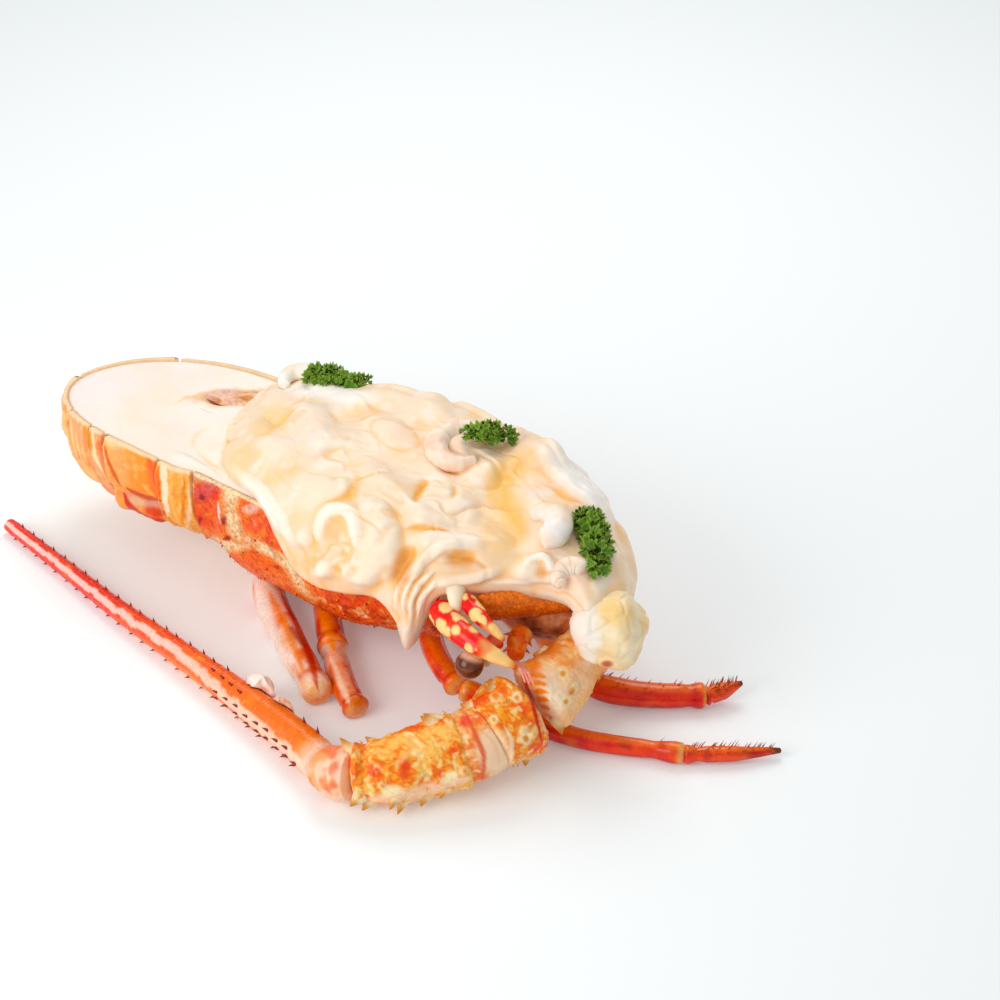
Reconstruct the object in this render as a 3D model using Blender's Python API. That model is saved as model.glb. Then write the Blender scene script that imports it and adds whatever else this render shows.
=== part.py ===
"""Half of a cooked spiny lobster, cut lengthwise and laid cut face up, with sauce, shrimps and parsley.

Lengths inside the functions are millimetres in the body's own frame: X runs from the tail to the head,
the back of the animal looks to -Y, the belly to +Y, and Z is up. Each solid is moved by BODY_SHIFT and
brought to metres when it is made.
"""

import math

import bmesh
import bpy
import numpy as np

MM = 0.001
BODY_SHIFT = (0.4, 23.9, -0.13)

# The cut face and the body under it
CUT_Z = 60.0
TAIL_MIDDLE_X = -105.0
TAIL_LENGTH = 59.0
TAIL_MIDDLE_Y = -0.7
TAIL_HALF_WIDTH = 37.5
TAIL_SKEW = 0.45
TAIL_POWER = 2.2
HEAD_END_X = 48.0
FAN_X = -112.0
TAIL_DEPTH = 39.0
CHEST_DEPTH = 46.5
NECK_DEPTH = 35.0
CORNER = 0.64
SHELL_GAP = 0.6
SHELL_WALL = 2.3
CLEARANCE = 0.35
FLAT_ANGLE = math.radians(1.0)
WELD = 0.000003

# The shell of the tail: where each band starts along the rim, from the chest round the tip to the belly
BAND_STARTS = (0.742, 0.845, 1.022, 1.066, 1.165, 1.40, 1.70)
BAND_END = 2.06
BAND_SLOT = 0.004
BAND_FOOT = 0.93
SHIELD_BACK_X = -77.4
SHIELD_FRONT_X = 47.0


def smooth(low, high, value):
    """0 below low, 1 above high, and an S-curve between."""
    t = np.clip((np.asarray(value, float) - low) / (high - low), 0.0, 1.0)
    return t * t * (3.0 - 2.0 * t)


def bump(value, middle, width):
    """A bell of height 1 about the middle."""
    return np.exp(-(((np.asarray(value, float) - middle) / width) ** 2))


def through(keys, count):
    """Points spaced evenly along the smooth curve through the keys."""
    keys = np.asarray(keys, float)
    reach = np.concatenate([[0.0], np.cumsum(np.linalg.norm(np.diff(keys, axis=0), axis=1))])
    slope = np.gradient(keys, reach, axis=0)
    at = np.linspace(0.0, reach[-1], count)
    i = np.clip(np.searchsorted(reach, at, side="right") - 1, 0, len(reach) - 2)
    width = (reach[i + 1] - reach[i])[:, None]
    t = (at - reach[i])[:, None] / width
    start = (2 * t**3 - 3 * t**2 + 1) * keys[i] + (t**3 - 2 * t**2 + t) * width * slope[i]
    end = (3 * t**2 - 2 * t**3) * keys[i + 1] + (t**3 - t**2) * width * slope[i + 1]
    return start + end


def unit(vectors):
    return vectors / np.maximum(np.linalg.norm(vectors, axis=-1, keepdims=True), 1e-9)


# Meshes from rings and sheets


def new_object(name, points, faces, material):
    """A mesh object from points in body millimetres, its faces turned outwards."""
    mesh = bpy.data.meshes.new(name)
    placed = (np.asarray(points, float) + np.array(BODY_SHIFT)) * MM
    mesh.from_pydata(placed.tolist(), [], [list(face) for face in faces])
    work = bmesh.new()
    work.from_mesh(mesh)
    bmesh.ops.triangulate(work, faces=[face for face in work.faces if len(face.verts) > 3])
    bmesh.ops.recalc_face_normals(work, faces=work.faces)
    if work.calc_volume(signed=True) < 0:
        bmesh.ops.reverse_faces(work, faces=work.faces)
    work.to_mesh(mesh)
    work.free()
    mesh.shade_smooth()
    obj = bpy.data.objects.new(name, mesh)
    bpy.context.scene.collection.objects.link(obj)
    mesh.materials.append(material)
    return obj


def skin(rings):
    """Points and triangles of the body through closed rings, each end drawn in to its middle."""
    count, sides = rings.shape[:2]
    points = np.vstack([rings.reshape(-1, 3), rings[0].mean(axis=0), rings[-1].mean(axis=0)])
    here = np.arange(count - 1)[:, None] * sides + np.arange(sides)[None, :]
    after = np.arange(count - 1)[:, None] * sides + (np.arange(sides)[None, :] + 1) % sides
    a, b, c, d = here.ravel(), after.ravel(), (after + sides).ravel(), (here + sides).ravel()
    j = np.arange(sides)
    k = (j + 1) % sides
    last = (count - 1) * sides
    first_hub = np.full(sides, count * sides)
    faces = [
        np.stack([a, b, c], axis=1),
        np.stack([a, c, d], axis=1),
        np.stack([first_hub, k, j], axis=1),
        np.stack([first_hub + 1, last + j, last + k], axis=1),
    ]
    return points, np.vstack(faces)


def drum(rings):
    """Points and faces of the body through closed rings, each end one flat face."""
    points, faces = skin(rings)
    count, sides = rings.shape[:2]
    sides_only = faces[: 2 * (count - 1) * sides].tolist()
    first = list(range(sides))[::-1]
    last = [(count - 1) * sides + j for j in range(sides)]
    return points[:-2], sides_only + [first, last]


def slab(outer, inner):
    """Points and triangles of the solid between two sheets of the same grid."""
    rows, columns = outer.shape[:2]
    size = rows * columns
    points = np.vstack([outer.reshape(-1, 3), inner.reshape(-1, 3)])
    index = np.arange(size).reshape(rows, columns)
    a, b = index[:-1, :-1].ravel(), index[:-1, 1:].ravel()
    c, d = index[1:, 1:].ravel(), index[1:, :-1].ravel()
    faces = [np.stack([a, b, c], 1), np.stack([a, c, d], 1)]
    faces += [np.stack([a, c, b], 1) + size, np.stack([a, d, c], 1) + size]
    rim = np.concatenate([index[0, :], index[1:, -1], index[-1, -2::-1], index[-2:0:-1, 0]])
    after = np.roll(rim, -1)
    faces += [np.stack([rim, rim + size, after + size], 1), np.stack([rim, after + size, after], 1)]
    return points, np.vstack(faces)


def tube_rings(path, radius, sides, tall=1.0, up=(0.0, 0.0, 1.0)):
    """Rings round a path; tall stretches each ring along the up side."""
    ahead = unit(np.gradient(path, axis=0))
    across = unit(np.cross(ahead, np.asarray(up, float)))
    lift = np.cross(across, ahead)
    angle = np.linspace(0.0, 2.0 * math.pi, sides, endpoint=False)
    radius = np.broadcast_to(np.asarray(radius, float), (len(path),))[:, None, None]
    ring = across[:, None, :] * np.cos(angle)[None, :, None]
    ring = ring + lift[:, None, :] * np.sin(angle)[None, :, None] * tall
    return path[:, None, :] + ring * radius


def rod(keys, radii, count, sides, tall=1.0, up=(0.0, 0.0, 1.0), ends=(0.5, 0.5)):
    """A round-ended rod through the keys; radii are spread evenly along it."""
    path = through(keys, 120)
    length = float(np.linalg.norm(np.diff(path, axis=0), axis=1).sum())
    first, last = ends[0] * radii[0] / length, ends[1] * radii[-1] / length
    at = np.concatenate([[first * 0.12], np.linspace(first, 1.0 - last, count), [1.0 - last * 0.12]])
    where = np.stack([np.interp(at, np.linspace(0.0, 1.0, 120), path[:, i]) for i in range(3)], axis=1)
    radius = np.interp(at, np.linspace(0.0, 1.0, len(radii)), radii)
    radius = radius * np.concatenate([[0.55], np.ones(count), [0.55]])
    rings = tube_rings(where, radius, sides, tall, up)
    points, faces = skin(rings)
    points[-2] = path[0]
    points[-1] = path[-1]
    return points, faces


def ball(centre, radii, rows, columns, relief=None):
    """An egg shape; relief gives a factor on its size from the direction."""
    polar = np.linspace(0.0, math.pi, rows + 2)[1:-1]
    turn = np.linspace(0.0, 2.0 * math.pi, columns, endpoint=False)
    way = np.stack(
        [
            np.sin(polar)[:, None] * np.cos(turn)[None, :],
            np.sin(polar)[:, None] * np.sin(turn)[None, :],
            np.cos(polar)[:, None] * np.ones(columns)[None, :],
        ],
        axis=2,
    )
    size = 1.0 if relief is None else relief(way)[..., None]
    rings = np.asarray(centre) + way * np.asarray(radii) * size
    points, faces = skin(rings)
    top = np.asarray(centre) + np.array([0.0, 0.0, radii[2]])
    low = np.asarray(centre) - np.array([0.0, 0.0, radii[2]])
    points[-2] = top
    points[-1] = low
    return points, faces


def thorn(base, tip, radius, name, sides=3):
    """A cone from base to tip, sunk a little into what it stands on."""
    base = np.asarray(base, float)
    tip = np.asarray(tip, float)
    way = tip - base
    side = unit(np.cross(way, np.array([0.31, 0.17, 0.93])))
    other = unit(np.cross(way, side))
    angle = np.linspace(0.0, 2.0 * math.pi, sides, endpoint=False)[:, None]
    ring = base + (side * np.cos(angle) + other * np.sin(angle)) * radius
    points = np.vstack([ring, base - way * 0.25, tip])
    faces = []
    for j in range(sides):
        k = (j + 1) % sides
        faces.append((j, k, sides + 1))
        faces.append((k, j, sides))
    return new_object(name, points, faces, HELPER)


# Boolean steps


def settle(obj):
    """Keeps the object's modified mesh as its own."""
    graph = bpy.context.evaluated_depsgraph_get()
    mesh = bpy.data.meshes.new_from_object(obj.evaluated_get(graph))
    old = obj.data
    obj.modifiers.clear()
    obj.data = mesh
    bpy.data.meshes.remove(old)


def drop(objects):
    """Removes the objects from the scene."""
    for obj in list(objects):
        bpy.data.objects.remove(obj, do_unlink=True)


def keep_largest(obj):
    """Removes the small loose bits that a cut has left."""
    work = bmesh.new()
    work.from_mesh(obj.data)
    bmesh.ops.remove_doubles(work, verts=work.verts, dist=WELD)
    bmesh.ops.dissolve_degenerate(work, edges=work.edges, dist=WELD)
    left = set(work.faces)
    groups = []
    while left:
        stack = [left.pop()]
        group = set(stack)
        while stack:
            for edge in stack.pop().edges:
                for face in edge.link_faces:
                    if face in left and len(edge.link_faces) == 2:
                        left.discard(face)
                        group.add(face)
                        stack.append(face)
        groups.append(group)
    biggest = max(groups, key=len)
    bmesh.ops.delete(work, geom=[face for face in work.faces if face not in biggest], context="FACES")
    bmesh.ops.dissolve_limit(work, angle_limit=FLAT_ANGLE, verts=work.verts, edges=work.edges)
    bmesh.ops.triangulate(work, faces=work.faces)
    work.to_mesh(obj.data)
    work.free()
    obj.data.shade_smooth()


def combine(obj, others, operation):
    """One Boolean with a collection of helpers, applied, and the helpers removed."""
    group = bpy.data.collections.new("helpers")
    bpy.context.scene.collection.children.link(group)
    for other in others:
        for home in list(other.users_collection):
            home.objects.unlink(other)
        group.objects.link(other)
    step = obj.modifiers.new("joined", "BOOLEAN")
    step.operation = operation
    step.operand_type = "COLLECTION"
    step.collection = group
    step.solver = "EXACT"
    bpy.context.view_layer.update()
    settle(obj)
    drop(others)
    bpy.data.collections.remove(group)
    keep_largest(obj)
    return obj


def swollen(obj, gap):
    """A copy of the object grown by the gap along its normals."""
    mesh = obj.data.copy()
    work = bmesh.new()
    work.from_mesh(mesh)
    work.normal_update()
    moves = [(v, v.normal * (gap * MM * min(v.calc_shell_factor(), 2.0))) for v in work.verts]
    for vert, move in moves:
        vert.co += move
    work.to_mesh(mesh)
    work.free()
    copy = bpy.data.objects.new("swollen", mesh)
    bpy.context.scene.collection.objects.link(copy)
    return copy


def clear_of(obj, neighbours, gap=CLEARANCE):
    """Cuts the neighbours, each grown by the gap, out of the object."""
    return combine(obj, [swollen(other, gap) for other in neighbours], "DIFFERENCE")


def finish(name, colour, roughness, subsurface=0.0):
    """A plain material for one solid."""
    material = bpy.data.materials.new(name)
    material.use_nodes = True
    shader = material.node_tree.nodes["Principled BSDF"]
    shader.inputs["Base Color"].default_value = (*colour, 1.0)
    shader.inputs["Roughness"].default_value = roughness
    shader.inputs["Metallic"].default_value = 0.0
    shader.inputs["Subsurface Weight"].default_value = subsurface
    return material


# The body: a rim on the cut face, and walls that curve in under it


def front_rim(x):
    """Y of the rim on the back of the animal."""
    return TAIL_MIDDLE_Y - TAIL_HALF_WIDTH + 2.8 * smooth(-88.0, -74.0, x) + 6.5 * smooth(0.0, 52.0, x)


def belly_rim(x):
    """Y of the rim on the belly side."""
    return TAIL_MIDDLE_Y + TAIL_HALF_WIDTH + 7.9 * smooth(-80.0, -20.0, x) - 3.0 * smooth(20.0, 50.0, x)


def rim_at(u):
    """The rim of the cut face. u is 0 to 1 along the back, 1 to 2 round the tail, 2 to 3 along the belly."""
    u = np.asarray(u, float)
    start = TAIL_MIDDLE_X - TAIL_SKEW * TAIL_HALF_WIDTH
    end = TAIL_MIDDLE_X + TAIL_SKEW * TAIL_HALF_WIDTH
    along = np.clip(u, 0.0, 1.0)
    front_x = HEAD_END_X + (start - HEAD_END_X) * along
    turn = (np.clip(u - 1.0, 0.0, 1.0) - 0.5) * math.pi
    power = 2.0 / TAIL_POWER
    side = TAIL_HALF_WIDTH * np.sign(np.sin(turn)) * np.abs(np.sin(turn)) ** power
    tip_x = TAIL_MIDDLE_X - TAIL_LENGTH * np.clip(np.cos(turn), 0.0, 1.0) ** power + TAIL_SKEW * side
    tip_y = TAIL_MIDDLE_Y + side
    back = np.clip(u - 2.0, 0.0, 1.0)
    belly_x = end + (HEAD_END_X - end) * back
    x = np.where(u <= 1.0, front_x, np.where(u <= 2.0, tip_x, belly_x))
    y = np.where(u <= 1.0, front_rim(front_x), np.where(u <= 2.0, tip_y, belly_rim(belly_x)))
    return np.stack([x, y], axis=-1)


def rim_way(u):
    """The rim's outward direction."""
    step = 0.004
    along = unit(rim_at(np.clip(u + step, 0.0, 3.0)) - rim_at(np.clip(u - step, 0.0, 3.0)))
    return np.stack([-along[..., 1], along[..., 0]], axis=-1)


def front_u(x):
    """Where along the rim, on the back of the animal, a given x lies."""
    start = TAIL_MIDDLE_X - TAIL_SKEW * TAIL_HALF_WIDTH
    return (HEAD_END_X - x) / (HEAD_END_X - start)


def belly_u(x):
    end = TAIL_MIDDLE_X + TAIL_SKEW * TAIL_HALF_WIDTH
    return 2.0 + (x - end) / (HEAD_END_X - end)


def depth_at(x):
    """How far the flesh reaches below the cut face."""
    chest = TAIL_DEPTH + (CHEST_DEPTH - TAIL_DEPTH) * smooth(-80.0, -46.0, x)
    return chest + (NECK_DEPTH - CHEST_DEPTH) * smooth(-8.0, 46.0, x)


def wall(u, down, off=0.0):
    """Points of the body's side at each u and each down (0 rim, 1 underside), moved out by off."""
    u = np.asarray(u, float)
    down = np.asarray(down, float)
    if u.ndim == 1:
        u = u[:, None] * np.ones_like(down)[None, :]
    if down.ndim == 1:
        down = np.ones(u.shape[0])[:, None] * down[None, :]
    off = np.broadcast_to(np.asarray(off, float), u.shape)
    rim = rim_at(u) + rim_way(u) * off[..., None]
    hub_x = np.maximum(rim[..., 0], FAN_X)
    angle = down * math.pi / 2.0
    swell = 0.02 + 0.13 * smooth(-84.0, -50.0, hub_x)
    reach = np.clip(np.cos(angle), 0.0, 1.0) ** CORNER * (1.0 + swell * np.sin(2.0 * angle))
    fall = np.sin(angle) ** CORNER
    x = hub_x + (rim[..., 0] - hub_x) * reach
    y = rim[..., 1] * reach
    z = CUT_Z - (depth_at(hub_x) + off) * fall
    return np.stack([x, y, z], axis=-1)


def build_meat(material):
    """The white flesh: flat on the cut face, and rounded below."""
    u = np.concatenate([np.linspace(0.0, 1.0, 19)[:-1], np.linspace(1.0, 2.0, 17)[:-1], np.linspace(2.0, 3.0, 17)])
    down = np.array([0.0, 0.05, 0.18, 0.34, 0.50, 0.66, 0.81, 0.95])
    rings = wall(u, down).transpose(1, 0, 2)
    meat = new_object("meat", *drum(rings), material)
    slit = ball((-99.0, 17.0, CUT_Z + 1.0), (21.0, 7.5, 6.0), 6, 12)
    cutter = new_object("slit", *slit, HELPER)
    turn_about(cutter, (-99.0, 17.0, CUT_Z), 20.0)
    return combine(meat, [cutter], "DIFFERENCE")


def turn_about(obj, centre, degrees, axis="Z"):
    """Turns an object's mesh about a point of the body frame."""
    angle = math.radians(degrees)
    c, s = math.cos(angle), math.sin(angle)
    turns = {
        "X": np.array([[1, 0, 0], [0, c, -s], [0, s, c]]),
        "Y": np.array([[c, 0, s], [0, 1, 0], [-s, 0, c]]),
        "Z": np.array([[c, -s, 0], [s, c, 0], [0, 0, 1]]),
    }
    middle = (np.asarray(centre, float) + np.array(BODY_SHIFT)) * MM
    flat = np.empty(len(obj.data.vertices) * 3)
    obj.data.vertices.foreach_get("co", flat)
    moved = (flat.reshape(-1, 3) - middle) @ turns[axis].T + middle
    obj.data.vertices.foreach_set("co", moved.ravel())
    obj.data.update()


def build_fold(material):
    """Brownish tissue lying in the slit, where the tail is folded under."""
    def lumps(way):
        return 1.0 + 0.16 * np.sin(5.0 * way[..., 0] + 1.0) * np.cos(4.0 * way[..., 1])

    points, faces = ball((-99.0, 17.0, CUT_Z - 1.6), (19.5, 6.4, 2.4), 5, 14, lumps)
    fold = new_object("fold_tissue", points, faces, material)
    turn_about(fold, (-99.0, 17.0, CUT_Z), 20.0)
    return fold


def build_bands(material):
    """The hoops of the tail's shell, each a little proud of the next at its rear edge."""
    bands = []
    edges = list(BAND_STARTS) + [BAND_END]
    down = np.array([0.0, 0.16, 0.32, 0.48, 0.64, 0.79, BAND_FOOT])
    for number, (start, end) in enumerate(zip(edges[:-1], edges[1:]), 1):
        share = np.linspace(0.0, 1.0, 3 + int(round((end - start) / 0.06)))
        middle = 0.5
        pinch = 1.0 - 0.42 * smooth(0.62, 1.0, down)
        spread = middle + (share[:, None] - middle) * pinch[None, :]
        u = start + BAND_SLOT + (end - start - 2.0 * BAND_SLOT) * spread
        height = np.broadcast_to(down[None, :], u.shape)
        lift = 0.9 * share**2 - 0.5 * bump(share, 0.12, 0.10)
        outer = wall(u, height, SHELL_GAP + SHELL_WALL + lift[:, None])
        inner = wall(u, height, SHELL_GAP)
        bands.append(new_object(f"tail_band_{number}", *slab(outer, inner), material))
    return bands


def build_shield(material):
    """The chest shell: up the back, under the side, and a little way up the belly."""
    stations = 13
    across = np.concatenate([np.linspace(0.0, 0.88, 8), [1.0], np.linspace(0.88, 0.42, 4)])
    side_is_front = np.arange(len(across)) <= 8
    share = np.linspace(0.0, 1.0, stations)
    ragged = 13.0 * smooth(0.45, 0.9, across)
    ragged = np.where(side_is_front, ragged, 13.0 - 3.0 * np.linspace(0.0, 1.0, len(across)))
    end_x = SHIELD_FRONT_X - ragged
    x = SHIELD_BACK_X + (end_x[None, :] - SHIELD_BACK_X) * share[:, None]
    front = front_u(x)
    belly = belly_u(x)
    down = np.broadcast_to(across[None, :], x.shape)
    thick = SHELL_WALL + 1.1 * bump(share, 0.0, 0.035)[:, None] - 0.5 * bump(share, 0.09, 0.03)[:, None]
    sheets = []
    for off in (SHELL_GAP + thick, np.full_like(thick, SHELL_GAP)):
        near = wall(front, down, np.broadcast_to(off, x.shape))
        far = wall(belly, down, np.broadcast_to(off, x.shape))
        sheets.append(np.where(side_is_front[None, :, None], near, far))
    return new_object("chest_shell", *slab(sheets[0], sheets[1]), material)


def build_breast(material):
    """The breast plate along the belly, with the five knobs that the legs stand on."""
    x = np.linspace(-66.0, 46.0, 9)
    down = np.array([0.02, 0.17, 0.34])
    u = belly_u(x)
    outer = wall(u, down, 4.4)
    inner = wall(u, down, SHELL_GAP)
    plate = new_object("breast_plate", *slab(outer, inner), material)
    knobs = []
    for i in range(5):
        knob_x = -50.0 + 24.0 * i
        centre = (knob_x, belly_rim(knob_x) + 4.5, 45.0)
        knobs.append(new_object("knob", *ball(centre, (8.0, 5.5, 8.0), 3, 7), HELPER))
    return combine(plate, knobs, "UNION")


def build_head(material):
    """The dark flesh of the head, in front of the chest."""
    def lumps(way):
        return 1.0 + 0.07 * np.sin(6.0 * way[..., 0] + 2.0) * np.sin(5.0 * way[..., 2] + 1.0)

    points, faces = ball((72.0, 9.0, 42.5), (24.0, 25.0, 17.0), 6, 13, lumps)
    head = new_object("head_flesh", points, faces, material)
    turn_about(head, (72.0, 9.0, 42.5), -22.0)
    return head


def build_brow(material):
    """The shell edge over the face."""
    keys = ((62.0, -29.5, 51.0), (70.0, -22.5, 52.2), (78.0, -14.5, 52.5), (90.0, -3.0, 52.0))
    points, faces = rod(keys, (2.4, 2.8, 2.8, 2.4), 7, 8, tall=2.3)
    return new_object("brow_shell", points, faces, material)


def build_horns(material):
    """The long horn over the eye, and the short one beside it."""
    long_keys = ((51.5, -36.5, 51.0), (64.0, -42.5, 51.5), (78.0, -44.0, 49.5), (92.5, -40.5, 44.5))
    short_keys = ((60.0, -31.5, 57.0), (71.0, -36.0, 56.0), (84.0, -37.0, 51.0))
    long_horn = new_object("horn_long", *rod(long_keys, (5.0, 5.2, 3.9, 1.0), 8, 9, ends=(0.5, 0.9)), material)
    short_horn = new_object("horn_short", *rod(short_keys, (3.4, 3.2, 0.9), 6, 8, ends=(0.5, 0.9)), material)
    return [long_horn, short_horn]


def build_eye(stalk_material, eye_material):
    keys = ((74.5, -29.0, 42.0), (74.5, -35.0, 41.5), (74.3, -40.5, 41.0))
    stalk = new_object("eye_stalk", *rod(keys, (3.6, 3.4, 5.0), 5, 9, ends=(0.3, 0.15)), stalk_material)
    eye = new_object("eye", *ball((74.2, -46.4, 40.2), (5.3, 5.3, 5.3), 6, 10), eye_material)
    return [stalk, eye]


def build_feelers(base_material, thread_material):
    """The stub of the small feelers and the two threads that hang from it."""
    base_keys = ((78.0, -17.0, 41.0), (80.0, -24.0, 40.0), (84.0, -30.0, 38.0))
    base = new_object("feeler_base", *rod(base_keys, (4.4, 4.0, 3.2), 5, 8), base_material)
    thread_keys = ((86.2, -32.4, 38.8), (91.5, -37.0, 42.2), (97.0, -41.0, 44.6), (101.8, -44.0, 43.6))
    threads = new_object("feeler_threads", *rod(thread_keys, (1.9, 1.8, 1.6, 1.0), 6, 6), thread_material)
    return [base, threads]


def thorns_on(obj, bases, ways, length, radius):
    """Fuses a thorn to the object at each base."""
    spikes = []
    for base, way in zip(bases, ways):
        way = unit(np.asarray(way, float))
        spikes.append(thorn(base, np.asarray(base) + way * length, radius, "spike"))
    return combine(obj, spikes, "UNION")


def thorn_ring(path_keys, radii, places, lift):
    """Bases and directions of thorns on a tapering rod: places are (share along, angle round in degrees)."""
    path = through(path_keys, 60)
    ahead = unit(np.gradient(path, axis=0))
    across = unit(np.cross(ahead, np.array([0.0, 0.0, 1.0])))
    over = np.cross(across, ahead)
    bases, ways = [], []
    for share, degrees in places:
        i = int(round(share * 59))
        angle = math.radians(degrees)
        out = across[i] * math.cos(angle) + over[i] * math.sin(angle)
        radius = np.interp(share, np.linspace(0.0, 1.0, len(radii)), radii)
        bases.append(path[i] + out * radius * 0.86)
        ways.append(out + ahead[i] * lift)
    return bases, ways


ANTENNA_ROOT = ((101.0, 2.0, 36.0), (99.5, -12.0, 33.0), (98.5, -25.0, 29.0), (96.4, -34.6, 25.4))
ANTENNA_ROOT_RADII = (9.5, 10.8, 13.2, 16.6)
ANTENNA_MID = ((95.4, -37.0, 24.6), (92.5, -49.0, 22.0), (89.6, -59.0, 19.5))
ANTENNA_MID_RADII = (17.0, 15.8, 14.0)
ANTENNA_END = ((87.4, -62.6, 18.0), (79.0, -73.5, 15.4), (70.0, -86.5, 13.6), (57.5, -97.6, 12.2))
ANTENNA_END_RADII = (15.0, 14.2, 12.8, 10.8)
JOINT_MIDDLE = (88.5, -60.8, 18.75)
JOINT_WAY = (-2.2, -3.6, -1.5)
JOINT_PROFILE = ((-1.5, 7.0), (-3.0, 11.4), (-2.0, 13.2), (2.0, 13.2), (3.0, 11.4), (1.5, 7.0))
KNUCKLE = ((57.0, -98.2, 12.0), (51.5, -98.8, 11.0), (46.4, -98.0, 9.8))
KNUCKLE_RADII = (10.2, 9.8, 8.8)
WHIP = (
    (45.6, -97.8, 9.6),
    (28.0, -92.6, 8.2),
    (-11.5, -85.0, 6.5),
    (-50.0, -79.0, 5.5),
    (-89.0, -73.5, 4.6),
    (-131.0, -66.0, 3.9),
    (-174.0, -58.5, 3.4),
)
WHIP_RADII = (7.8, 7.2, 5.8, 4.8, 4.0, 3.4, 2.9)
HIDDEN_THORN = 2
SCRAPS = (
    ((-5.6, -79.6, 10.2), (7.6, 5.0, 5.2), -8.0),
    ((10.4, -83.4, 11.0), (6.0, 4.2, 4.0), -14.0),
)


def spool(middle, way, profile, sides):
    """A turned shape: profile is (along the axis, radius)."""
    way = unit(np.asarray(way, float))
    across = unit(np.cross(way, np.array([0.0, 0.0, 1.0])))
    over = np.cross(across, way)
    angle = np.linspace(0.0, 2.0 * math.pi, sides, endpoint=False)
    spoke = across * np.cos(angle)[:, None] + over * np.sin(angle)[:, None]
    rings = [np.asarray(middle) + way * along + spoke * radius for along, radius in profile]
    return skin(np.stack(rings, axis=0))


def build_antenna(root_material, joint_material, whip_material):
    """Three thick joints, the skin between them, and the long whip."""
    root = new_object("antenna_root", *rod(ANTENNA_ROOT, ANTENNA_ROOT_RADII, 6, 12), root_material)
    places = ((0.55, 35.0), (0.7, 150.0), (0.9, 95.0), (0.85, 20.0))
    thorns_on(root, *thorn_ring(ANTENNA_ROOT, ANTENNA_ROOT_RADII, places, 0.8), 6.5, 2.2)
    middle = new_object("antenna_middle", *rod(ANTENNA_MID, ANTENNA_MID_RADII, 5, 12), root_material)
    places = ((0.65, 165.0), (0.9, 150.0), (0.45, 5.0), (0.8, 60.0))
    thorns_on(middle, *thorn_ring(ANTENNA_MID, ANTENNA_MID_RADII, places, 0.9), 6.0, 2.0)
    end = new_object("antenna_end", *rod(ANTENNA_END, ANTENNA_END_RADII, 8, 12), root_material)
    places = ((0.4, 175.0), (0.62, 160.0), (0.86, 150.0), (0.96, 100.0), (0.55, 20.0), (0.75, 5.0), (0.95, 0.0))
    thorns_on(end, *thorn_ring(ANTENNA_END, ANTENNA_END_RADII, places, 1.3), 7.5, 2.0)
    joint = new_object("joint_skin", *spool(JOINT_MIDDLE, JOINT_WAY, JOINT_PROFILE, 12), joint_material)
    knuckle = new_object("whip_knuckle", *rod(KNUCKLE, KNUCKLE_RADII, 5, 12), joint_material)
    whip = whip_rod(0.0, whip_material)
    rear = [(0.04 + 0.075 * i, 28.0) for i in range(8) if i != HIDDEN_THORN]
    near = [(0.07 + 0.075 * i, 150.0) for i in range(8)]
    thorns_on(whip, *thorn_ring(WHIP, WHIP_RADII, rear + near, 1.5), 3.6, 1.0)
    return root, middle, end, joint, knuckle, whip


def whip_rod(grown, material):
    """The whip without its thorns, grown all round."""
    radii = [radius + grown for radius in WHIP_RADII]
    return new_object("whip", *rod(WHIP, radii, 16, 9, ends=(0.4, 0.2)), material)


def build_scraps(material):
    """The two crumpled pieces of pale skin that lie against the whip near its foot, between its thorns."""
    def lumps(way):
        return 1.0 + 0.12 * np.sin(6.0 * way[..., 0] + 1.0) * np.cos(5.0 * way[..., 2])

    for number, (middle, radii, turn) in enumerate(SCRAPS, 1):
        scrap = new_object(f"skin_scrap_{number}", *ball(middle, radii, 5, 10, lumps), material)
        turn_about(scrap, middle, turn)
        combine(scrap, [whip_rod(CLEARANCE, HELPER)], "DIFFERENCE")


def build_leg(name, sections, material, bristled=()):
    """One node for each section of a leg; a section is its keys and its radii."""
    pieces = []
    for number, (keys, radii) in enumerate(sections, 1):
        sides = 7 if number == 1 else 9
        piece = new_object(f"{name}_{number}", *rod(keys, radii, 5, sides, ends=(0.5, 0.6)), material)
        if number in bristled:
            places = [(0.14 + 0.19 * i, 75.0 + 30.0 * (i % 2)) for i in range(4)]
            thorns_on(piece, *thorn_ring(keys, radii, places, 0.7), 3.4, 0.75)
        if pieces:
            clear_of(piece, [pieces[-1]])
        pieces.append(piece)
    return pieces


LEG_A = (
    (((-47.0, 54.0, 37.0), (-58.0, 50.0, 17.0), (-66.0, 28.0, 7.6), (-68.0, 1.0, 7.0)), (5.6, 6.2, 6.4, 6.2)),
    (((-68.0, -1.0, 7.0), (-50.0, -26.0, 6.9), (-23.0, -44.5, 6.7), (14.0, -65.0, 6.2)), (6.0, 6.8, 6.6, 5.8)),
)
LEG_B = (
    (((-23.0, 56.0, 36.0), (-33.0, 50.0, 14.0), (-41.0, 26.0, 6.6), (-40.0, 1.0, 6.0)), (5.2, 5.6, 5.6, 5.4)),
    (((-39.0, 0.0, 6.0), (-21.0, -21.5, 6.0), (-1.5, -40.0, 5.8)), (5.4, 5.7, 5.8)),
    (((-3.0, -38.6, 5.8), (17.0, -54.5, 5.6), (30.5, -62.0, 5.2)), (5.2, 5.4, 4.9)),
)
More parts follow.
